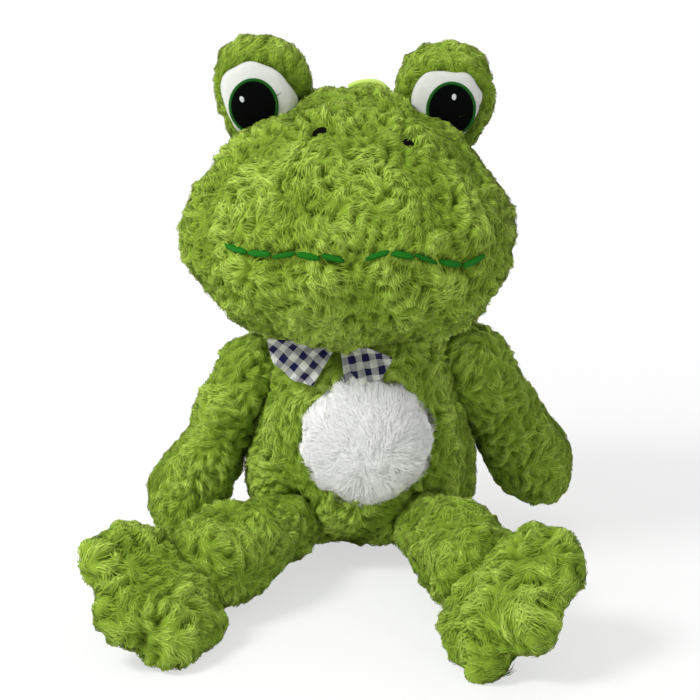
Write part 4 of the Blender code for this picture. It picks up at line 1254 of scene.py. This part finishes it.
@dataclass
class Plush:
    """Every stuffed part: its skin, and the pile that grows out of it."""

    wardrobe: Wardrobe
    rng: np.random.Generator
    parts: tuple[tuple[str, str], ...] = (
        ("head", "head"), ("left_eye_dome", "head"), ("right_eye_dome", "head"), ("torso", "torso"),
        ("left_arm", "left_arm"), ("right_arm", "right_arm"), ("left_leg", "left_leg"),
        ("right_leg", "right_leg"), ("left_foot", "left_foot"), ("right_foot", "right_foot"),
    )
    fan_drop: float = 0.013
    fan_reach: float = 0.06

    def partings(self, part: str) -> list[Parting]:
        """The trims that this part's pile makes way for."""
        if part == "head":
            trims = (("mouth_stitches", 0.0024, 0.0060, 0.45), ("nostril", 0.0026, 0.0050, 0.45),
                     ("eye_white", 0.0005, 0.0130, 0.25))
            found = [
                Parting(f"{side}_{trim}", *sizes, 0.5) for trim, *sizes in trims for side in SIDES]
            return [*found, Parting("hanging_loop", 0.0015, 0.003, 0.9, 0.0)]
        if part.endswith("_dome"):
            return [Parting(part.replace("dome", "white"), 0.0036, 0.0080, 0.40)]
        if part == "torso":
            bow = ("left_bow_wing", "right_bow_wing", "bow_knot")
            patch = Parting("belly_patch", 0.0004, 0.003, 1.0, -0.3)
            return [patch, *(Parting(node, 0.004, 0.006, 0.3, 0) for node in bow)]
        return []

    def make(self) -> None:
        """Make all skins first, then each part's pile round its neighbours."""
        kinds = {node: KINDS[node.rsplit("_", 1)[-1]] for node, _ in self.parts}
        skins = {}
        for node, body in self.parts:
            _, inset, voxel = kinds[node]
            skin = StuffedSkin(node, body, inset=inset, voxel=voxel, pushes=PUSHES.get(node, ()))
            skins[node] = skin.make(self.wardrobe, Finish.GREEN_PILE, "green_ground")
        patch = StuffedSkin("belly_patch", "torso", fill=0.4, inset=0.0003, voxel=0.0029,
                            most_swell=0.0006, pushes=PUSHES["belly_patch"])
        belly = patch.make(self.wardrobe, Finish.WHITE_PILE, "white_ground")
        solids = {
            node: Samples.over(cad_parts[node].data, SOLID_SAMPLES, self.rng)
            for node, _ in self.parts
        }
        total = 0
        for node, body in self.parts:
            coat = PileCoat(
                name=node, skin=skins[node], body=body, style=kinds[node][0], rng=self.rng,
                partings=self.partings(node), tufts=TUFTS.get(node, ()),
                neighbours=[solid for other, solid in solids.items() if other != node],
            )
            total += coat.grow(self.wardrobe, Finish.GREEN_PILE)
        coat = PileCoat(
            name="belly", skin=belly, body="torso", style=BELLY_PILE, rng=self.rng, draw=self._fan)
        total += coat.grow(self.wardrobe, Finish.WHITE_PILE)
        LOG.info("%d triangles of pile", total)

    def _fan(self, places: np.ndarray) -> np.ndarray:
        """Pull of the belly's pile: out from a place below the patch's middle."""
        low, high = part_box("belly_patch")
        middle = (np.array(low) + np.array(high)) / 2 - np.array([0, 0, self.fan_drop])
        return (places - middle) * np.array([0.9, 0, 0.8]) / self.fan_reach


# Face


@dataclass(frozen=True)
class Eye:
    """One embroidered eye: white felt, a green satin ring, a black satin pupil, a white glint."""

    side: int
    rim: Shares
    iris_outward: float
    iris_drop: float
    glint_shift: tuple[float, float]
    glint_turn: float
    spacing: float = 0.1224
    setback: float = 0.010
    bottom: float = 0.160 - 0.0062 - 0.0365
    white_outward: float = 0.0010
    white_drop: float = 0.0006
    white_lift: tuple[float, float] = (0.0006, 0.0030)
    iris_half: tuple[float, float] = (0.0154, 0.0174)
    iris_thread: float = 0.0021
    thread_lift: tuple[float, float] = (0.0027, 0.0038)
    glint_half: tuple[float, float] = (0.0014, 0.0020)

    @property
    def side_name(self) -> str:
        """The frog's own side."""
        return "left" if self.side > 0 else "right"

    @property
    def iris_centre(self) -> tuple[float, float]:
        """Middle of the iris from the dome's middle."""
        return self.side * self.iris_outward, -self.iris_drop

    def make(self, wardrobe: Wardrobe) -> None:
        """Make the four pads of the eye."""
        name = self.side_name
        middle = (self.side * self.white_outward, -self.white_drop)
        felt = self._pad(f"{name}_eye_white_felt", self._white(), middle, self.white_lift, 0.45, 18)
        wardrobe.add(felt, "head", Finish.WHITE_FELT, [f"{name}_eye_white"])
        self._ring(wardrobe)
        share = 1 - 0.6 * self.iris_thread / self.iris_half[0]
        outline = self._ellipse(self.iris_half, share, 0)
        pupil = self._pad(
            f"{name}_pupil_satin", outline, self.iris_centre, self.thread_lift, 0.25, 16)
        wardrobe.add(pupil, "head", Finish.BLACK_THREAD, [f"{name}_pupil"])
        lift = (self.thread_lift[1] - 0.0003, self.thread_lift[1] + 0.0006)
        middle = tuple(a + b for a, b in zip(self.iris_centre, self.glint_shift))
        outline = self._ellipse(self.glint_half, 1, self.glint_turn)
        glint = self._pad(f"{name}_eye_glint", outline, middle, lift, 0.8, 6)
        wardrobe.add(glint, "head", Finish.WHITE_THREAD, [f"{name}_eye_highlight"])

    def _white(self, around: int = 144) -> np.ndarray:
        """Outline of the felt: its radius at each angle, which is 0 outwards and 90 degrees up."""
        angle = (circle(around) + math.pi) % (2 * math.pi) - math.pi
        radius = between(self.rim, np.degrees(angle))
        return np.stack([self.side * radius * np.cos(angle), radius * np.sin(angle)])

    def _ellipse(self, half: tuple[float, float], share: float, turn: float,
                 around: int = 72) -> np.ndarray:
        """Outline of an ellipse, drawn in to a share and turned."""
        angle = circle(around)
        x, z = half[0] * share * np.cos(angle), half[1] * share * np.sin(angle)
        return np.stack(turned(x, z, turn))

    def _lifted(self, across: np.ndarray, along: np.ndarray, lift: np.ndarray) -> np.ndarray:
        """Points over the dome's front, in the frame."""
        points = DOME_FORM.lifted(across, along + DOME_FORM.length / 2, lift)
        offset = np.array(HEAD.seat) + (self.side * self.spacing / 2, self.setback, self.bottom)
        return HEAD.to_frame(points, offset)

    def _pad(self, name: str, outline: np.ndarray, middle: tuple[float, float],
             lifts: tuple[float, float], edge_share: float, rings: int) -> bpy.types.Mesh:
        """A closed pad over the dome.

        Its front rises a little towards the rim, where the stuffing is pushed out, and then falls
        over the rim by the edge share of its thickness.
        """
        share = np.linspace(0, 1, rings + 1)[:, None]
        across, along = (middle[axis] + outline[axis] * share for axis in (0, 1))
        low, high = lifts
        swell = 0.25 * np.exp(-(((share - 0.84) / 0.09) ** 2)) * edge_share
        lift = low + (high - low) * (1 + swell - edge_share * share**12) * np.ones_like(across)
        front = self._lifted(across, along, lift)
        back = self._lifted(across, along, np.full_like(across, low))
        mesh = closed_pad(name, front, back)
        set_numbers(mesh, "stitch", pad_numbers(across))
        return mesh

    def _ring(self, wardrobe: Wardrobe, around: int = 300, sides: int = 10,
              stitches: int = 75) -> None:
        """The satin ring: a flat tube round the pupil, with a ridge for each stitch across it."""
        angle, turn = circle(around)[None], circle(sides)[:, None]
        ridge = np.sin(stitches * angle)
        inset = self.iris_thread / 2 * (1 - np.cos(turn) * (1 + 0.10 * ridge))
        across = self.iris_centre[0] + (self.iris_half[0] - inset) * np.cos(angle)
        along = self.iris_centre[1] + (self.iris_half[1] - inset) * np.sin(angle)
        low, high = self.thread_lift
        lift = low + (high - low) * (0.5 + 0.5 * np.sin(turn)) * (1 + 0.12 * ridge)
        points = self._lifted(across, along, lift)
        quads = grid_quads(sides + 1, around, True) % (sides * around)
        mesh = face_out(make_mesh(f"{self.side_name}_iris_satin", points, quads))
        set_numbers(mesh, "stitch", np.broadcast_to(angle * self.iris_half[0], across.shape))
        nodes = [f"{self.side_name}_iris_ring"]
        wardrobe.add(mesh, "head", Finish.GREEN_THREAD, nodes, "ring_thread")


EYES = (
    Eye(1, (
        (-180, 0.0232), (-120, 0.0220), (-60, 0.0208), (-30, 0.0185), (0, 0.0198), (22, 0.0226),
        (35, 0.0221), (59, 0.0235), (84, 0.0210), (104, 0.0221), (130, 0.0247), (180, 0.0232),
    ), 0.0026, 0.0029, (0.0014, 0.0080), 0.0),
    Eye(-1, (
        (-180, 0.0243), (-120, 0.0250), (-60, 0.0252), (-40, 0.0228), (-18, 0.0221), (30, 0.0264),
        (52, 0.0244), (70, 0.0240), (102, 0.0209), (145, 0.0204), (180, 0.0243),
    ), 0.0040, 0.0055, (-0.0071, 0.0042), math.radians(25)),
)


@dataclass(frozen=True)
class Mouth:
    """The mouth: two runs of fat satin stitches over the pile, open in the middle."""

    above_jaw: float = 0.06448
    rise: float = 0.005
    half_length: float = 0.080
    centre_gap: float = 0.012
    stitch: float = 0.0148
    radius: float = 0.0021
    lift: float = 0.0016
    side_shift: float = 0.0040
    waves: tuple[float, float] = (0.0050, 0.0018)
    wave_turns: float = 0.75
    wave_start: float = 0.2
    tilts: tuple[tuple[float, ...], ...] = (
        (0.0014, -0.0004, -0.0012, -0.0004, 0.0015), (-0.0009, -0.0009, 0.0016, 0.0003, -0.0006))

    def make(self, wardrobe: Wardrobe) -> None:
        """Make both runs."""
        for side_name, side in SIDES.items():
            mesh = self._run(side, side_name)
            nodes = [f"{side_name}_mouth_stitches"]
            wardrobe.add(mesh, "head", Finish.GREEN_THREAD, nodes)

    def _run(self, side: int, side_name: str, steps: int = 25, sides: int = 14) -> bpy.types.Mesh:
        """One run: spindles end to end along the mouth line, each tilted a little."""
        run = self.half_length - self.centre_gap / 2
        count = round(run / self.stitch)
        pitch = run / count
        middle = self.centre_gap / 2 + pitch * (np.arange(count)[:, None, None] + 0.5)
        share = np.linspace(-1, 1, steps)[None, :, None]
        turn = circle(sides)[None, None, :]
        tilt = side * np.array(self.tilts[side < 0])[:, None, None]
        body = np.sqrt(np.maximum(0, 1 - np.abs(share) ** 3.2)) + 1e-3
        across = side * (middle + share * pitch / 2)
        along = self.above_jaw + self.rise * (across / self.half_length) ** 2 + tilt * share
        part = (np.abs(across) - self.centre_gap / 2) / run - self.wave_start
        along = along + self.waves[side < 0] * np.cos(2 * math.pi * self.wave_turns * part)
        rib = 1 + 0.05 * np.sin(5 * turn + share * 9)
        fat = self.radius * (0.92 + 0.16 * np.sin(middle * 700)) * body * rib
        points = on_head(
            across + self.side_shift + 0 * turn, along + np.cos(turn) * fat,
            self.lift + np.sin(turn) * fat * 0.8)
        first = (np.arange(count) * steps * sides)[:, None, None]
        cap = np.arange(sides)
        fan = np.stack([cap[1:-1], cap[2:], 0 * cap[2:]], -1)
        fans = np.concatenate([fan, fan[:, ::-1] + (steps - 1) * sides])
        quads = grid_quads(steps, sides, True)[None] + first
        mesh = face_out(make_mesh(f"{side_name}_mouth_satin", points, quads, fans[None] + first))
        twist = np.broadcast_to(turn * self.radius + share * 0.002, (count, steps, sides))
        set_numbers(mesh, "stitch", twist)
        return mesh


@dataclass(frozen=True)
class Nostrils:
    """Two slits of dark satin stitch that slant down outwards."""

    spacing: float = 0.056
    side_shift: float = 0.0070
    above_jaw: float = 0.1351
    tilt: float = math.radians(5)
    half: tuple[float, float] = (0.0048, 0.0022)
    slant: float = math.radians(22)
    lifts: tuple[float, float] = (-0.0004, 0.0016)

    def make(self, wardrobe: Wardrobe, around: int = 36, rings: int = 6) -> None:
        """Make both, as closed pads on the head."""
        angle = circle(around)[None]
        share = np.linspace(0, 1, rings + 1)[:, None]
        low, high = self.lifts
        lift = low + (high - low) * (1 - 0.8 * share**3) + 0 * angle
        for side_name, side in SIDES.items():
            x, z = self.half[0] * np.cos(angle) * share, self.half[1] * np.sin(angle) * share
            middle = side * self.spacing / 2
            right, up = turned(x, z, -side * self.slant)
            across = self.side_shift + middle + right
            along = self.above_jaw - middle * math.tan(self.tilt) + up
            front, back = (on_head(across, along, height) for height in (lift, low + 0 * lift))
            mesh = closed_pad(f"{side_name}_nostril_satin", front, back)
            set_numbers(mesh, "stitch", pad_numbers(x))
            wardrobe.add(mesh, "head", Finish.DARK_THREAD, [f"{side_name}_nostril"])


# Bow, ribbon loop and neck disc


@dataclass(frozen=True)
class Wing:
    """One wing of the bow: a fan of cloth, gathered at the knot, with pleats that open outwards."""

    side_name: str
    length: float
    angles: tuple[float, float]
    shares: Shares
    start: float = 0.0052
    droop: float = 0.0110
    pleat: float = 0.0020
    pleats: int = 3
    cloth: float = 0.0009
    rows: int = 64
    columns: int = 30
    upturn: float = 0.0
    weave_turn: float = 0.0

    def make(self, wardrobe: Wardrobe, knot: np.ndarray) -> None:
        """Make the wing as a sheet.

        A point lies at an angle and a radius from the knot. Pleats push it to and fro along Y,
        the more the further out, and the whole wing droops forward, off the chest.

        Args:
            wardrobe: the materials.
            knot: the middle of the knot.
        """
        share = np.linspace(0, 1, self.rows)[:, None]
        out = np.linspace(0, 1, self.columns)[None, :]
        angle = self.angles[0] + (self.angles[1] - self.angles[0]) * share
        angle = angle - self.upturn * out * (1 - share)
        reach = self.length * between(self.shares, share)
        radius = self.start + (reach - self.start) * out
        wave = np.cos(2 * math.pi * self.pleats * share)
        fold = self.pleat * out**0.8 * wave + 0.0006 * np.sin(9 * share + 4 * out) * out
        y = -self.droop * out**1.1 - fold - self.cloth
        x, z = radius * np.cos(angle), radius * np.sin(angle)
        points = np.stack([knot[0] + x, knot[1] + y + 0 * angle, knot[2] + z], -1)
        quads = grid_quads(self.rows, self.columns, False)
        mesh = make_mesh(f"{self.side_name}_bow_cloth", points, quads)
        map_cloth(mesh, np.stack(turned(x, z, -self.weave_turn), -1).reshape(-1, 2) + 1)
        piece = wardrobe.add(mesh, "torso", Finish.GINGHAM, [f"{self.side_name}_bow_wing"])
        thicken(piece, "cloth_thickness", self.cloth)


@dataclass(frozen=True)
class Bow:
    """The gingham bow under the chin."""

    knot_half: tuple[float, float, float] = (0.0046, 0.0042, 0.0050)
    lift: tuple[float, float, float] = (0.0008, 0.0010, 0.0050)

    def make(self, wardrobe: Wardrobe) -> None:
        """Make the knot where the CAD knot is, and both wings out of it."""
        low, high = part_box("bow_knot")
        knot = (np.array(low) + np.array(high)) / 2 + np.array(self.lift)
        self._knot(knot, wardrobe)
        degree = math.pi / 180
        right = ((0.0, 1.0), (0.29, 0.945), (0.51, 0.85), (0.77, 0.77), (1.0, 0.655))
        left = ((0.0, 0.99), (0.10, 1.0), (0.30, 0.97), (0.36, 0.985), (0.62, 0.84), (0.70, 0.86),
                (1.0, 0.69))
        Wing("right", 0.0465, (176 * degree, 236 * degree), right,
             upturn=3 * degree, weave_turn=-42 * degree).make(wardrobe, knot)
        Wing("left", 0.0350, (-3 * degree, -81 * degree), left,
             upturn=9 * degree, weave_turn=12 * degree).make(wardrobe, knot)

    def _knot(self, knot: np.ndarray, wardrobe: Wardrobe, rings: int = 16,
              around: int = 48) -> None:
        """The knot: a ball of cloth with creases that run down it."""
        rise = np.linspace(-math.pi / 2, math.pi / 2, rings)[:, None]
        turn = circle(around)[None]
        wide = np.cos(rise) ** 0.8 * (1 - 0.07 * np.cos(7 * turn) ** 2)
        x, y, z = self.knot_half
        points = knot + np.stack([
            x * wide * np.cos(turn), y * wide * np.sin(turn), z * np.sin(rise) + 0 * turn], -1)
        half = rings // 2
        mesh = closed_pad("bow_knot_cloth", points[:half], points[: half - 1 : -1])
        flat = coordinates(mesh)
        map_cloth(mesh, np.stack([flat[:, 0] - flat[:, 1], flat[:, 2]], -1))
        piece = wardrobe.add(mesh, "torso", Finish.GINGHAM, ["bow_knot"])


@dataclass(frozen=True)
class HangingLoop:
    """The folded satin ribbon on the crown, both ends in the seam."""

    width: float = 0.026
    height: float = 0.0074
    bulge: float = 0.0020
    ribbon: float = 0.0006
    side_shift: float = 0.0090
    setback: float = 0.004
    root: float = 0.005
    arch_points: int = 25
    side_points: int = 8
    across_points: int = 20

    def make(self, wardrobe: Wardrobe) -> None:
        """Make the loop: a line up, over and down, carried along the ribbon's width."""
        arch = np.linspace(0, math.pi, self.arch_points)
        rise = self.height - self.bulge
        leg = np.linspace(-self.root, rise * 0.8, self.side_points)
        side = np.full(self.side_points, self.bulge * 0.7)
        y = np.concatenate([side, self.bulge * np.cos(arch), -side])[:, None]
        z = np.concatenate([leg, rise + self.bulge * np.sin(arch), leg[::-1]])[:, None]
        across = np.linspace(-self.width / 2, self.width / 2, self.across_points)[None]
        sag = 0.0004 * np.sin(across * 230) - 0.0042 * np.abs(2 * across / self.width) ** 2.4
        local = np.stack([
            self.side_shift + across + 0 * y, self.setback + y + 0 * across,
            HEAD_FORM.length + z + sag], -1)
        quads = grid_quads(len(y), self.across_points, False)
        mesh = make_mesh("ribbon_loop", HEAD.to_frame(local, HEAD.seat), quads)
        piece = wardrobe.add(mesh, "head", Finish.RIBBON, ["hanging_loop"])
        thicken(piece, "ribbon_thickness", self.ribbon)


@dataclass(frozen=True)
class NeckDisc:
    """The round of cloth on the neck seat, between torso and head."""

    radius: float = 0.024
    seat_radius: float = 0.0624
    cloth: float = 0.0008

    def make(self, wardrobe: Wardrobe, rings: int = 12, around: int = 48) -> None:
        """Make the disc: a cap of the seat's ball, puckered a little at its rim."""
        share = np.linspace(0, 1, rings + 1)[:, None]
        turn = circle(around)[None]
        lean = share * math.asin(self.radius / self.seat_radius)
        ripple = 0.00012 * share * np.sin(12 * turn)
        discs = []
        for lift in (self.cloth, 0):
            reach = self.seat_radius + lift + ripple
            discs.append(np.stack([
                reach * np.sin(lean) * np.cos(turn), reach * np.sin(lean) * np.sin(turn),
                reach * np.cos(lean) + 0 * turn], -1) + np.array(HEAD.neck))
        mesh = closed_pad("neck_disc_cloth", *discs)
        piece = wardrobe.add(mesh, "neck", Finish.BACKING, ["neck_disc"])


# Studio


@dataclass(frozen=True)
class Lamp:
    """One soft lamp that looks at the frog."""

    place: tuple[float, float, float]
    size: float
    power: float


@dataclass(frozen=True)
class Studio:
    """Camera, lamps, white surroundings and pale floor."""

    camera_place: tuple[float, float, float] = (-0.008, -1.0545, 0.3903)
    camera_tilt: float = math.radians(79)
    lens: float = 1544 / 700 * 36
    shift_y: float = -0.1
    aim: tuple[float, float, float] = (0.0, -0.05, 0.16)
    sky: float = 0.55
    floor_reach: float = 6.0
    lamps: tuple[Lamp, ...] = (
        Lamp((-0.95, -0.72, 1.25), 0.55, 20.0),
        Lamp((1.1, -0.8, 0.7), 0.9, 1.2),
        Lamp((0.3, 1.1, 1.0), 0.8, 3.4),
    )

    def make(self) -> None:
        """Set up everything round the frog."""
        scene = bpy.context.scene
        camera = place_object("camera", bpy.data.cameras.new("camera"))
        camera.location = self.camera_place
        camera.rotation_euler = (self.camera_tilt, 0, 0)
        camera.data.lens = self.lens
        camera.data.sensor_width = 36
        camera.data.shift_y = self.shift_y
        scene.camera = camera
        scene.view_settings.view_transform = "Standard"
        for number, lamp in enumerate(self.lamps):
            light = bpy.data.lights.new(f"lamp_{number}", "AREA")
            light.shape = "DISK"
            light.size = lamp.size
            light.energy = lamp.power
            holder = place_object(light.name, light)
            holder.location = lamp.place
            x, y, z = np.array(self.aim) - np.array(lamp.place)
            tilt = math.atan2(math.hypot(x, y), -z)
            holder.rotation_euler = (tilt, 0, math.atan2(y, x) - math.pi / 2)
        self._world()
        self._floor()

    def _world(self) -> None:
        """White where the camera or a reflection sees it, and a plain sky light elsewhere."""
        world = bpy.data.worlds.new("surroundings")
        bpy.context.scene.world = world
        world.use_nodes = True
        wiring = Wiring(world.node_tree)
        seen = wiring.node("LightPath", {}, {}, "Is Camera Ray")
        for ray in ("Is Glossy Ray", "Is Transmission Ray"):
            other = wiring.node("LightPath", {}, {}, ray)
            seen = wiring.node("Math", {"operation": "MAXIMUM"}, {0: seen, 1: other})
        ends = {"Value": seen, "To Min": self.sky, "To Max": 1}
        background = wiring.tree.nodes["Background"].inputs
        background["Color"].default_value = (1, 1, 1, 1)
        wiring.join(wiring.node("MapRange", {}, ends), background["Strength"])

    def _floor(self) -> None:
        """A large pale floor that the camera sees nearly white, with the frog's shadow on it."""
        finish = FinishTree("studio_floor", Roughness=0.9, Specular_IOR_Level=0.1,
                            Base_Color=(0.93, 0.93, 0.93, 1))
        glow = finish.node("Emission", {}, {"Color": (1, 1, 1, 1), "Strength": 1.0})
        seen = finish.node("LightPath", {}, {}, "Is Camera Ray")
        away = finish.node("VectorMath", {"operation": "LENGTH"}, {0: finish.place()}, "Value")
        ends = {"From Min": 0.30, "From Max": 0.75, "To Min": 0.62, "To Max": 1.0}
        lit = finish.node("MapRange", {}, {"Value": away, **ends})
        plain = Wire(finish, finish.shader.outputs[0])
        mixed = finish.node("MixShader", {}, {0: seen * lit, 1: plain, 2: glow})
        finish.join(mixed, finish.tree.nodes["Material Output"].inputs["Surface"])
        reach = self.floor_reach
        corners = np.array([
            [-reach, -reach, 0], [reach, -reach, 0], [reach, reach, 0], [-reach, reach, 0]])
        mesh = make_mesh("floor", corners, [[0, 1, 2, 3]])
        mesh.materials.append(finish.material)
        place_object("floor", mesh)


def main() -> None:
    """Build the frog's looks in order."""
    logging.basicConfig(level=logging.INFO, format="%(message)s")
    rng = np.random.default_rng(SEED)
    Studio().make()
    wardrobe = Wardrobe()
    Plush(wardrobe, rng).make()
    for eye in EYES:
        eye.make(wardrobe)
    Mouth().make(wardrobe)
    Nostrils().make(wardrobe)
    Bow().make(wardrobe)
    HangingLoop().make(wardrobe)
    NeckDisc().make(wardrobe)


if __name__ == "__main__":
    main()
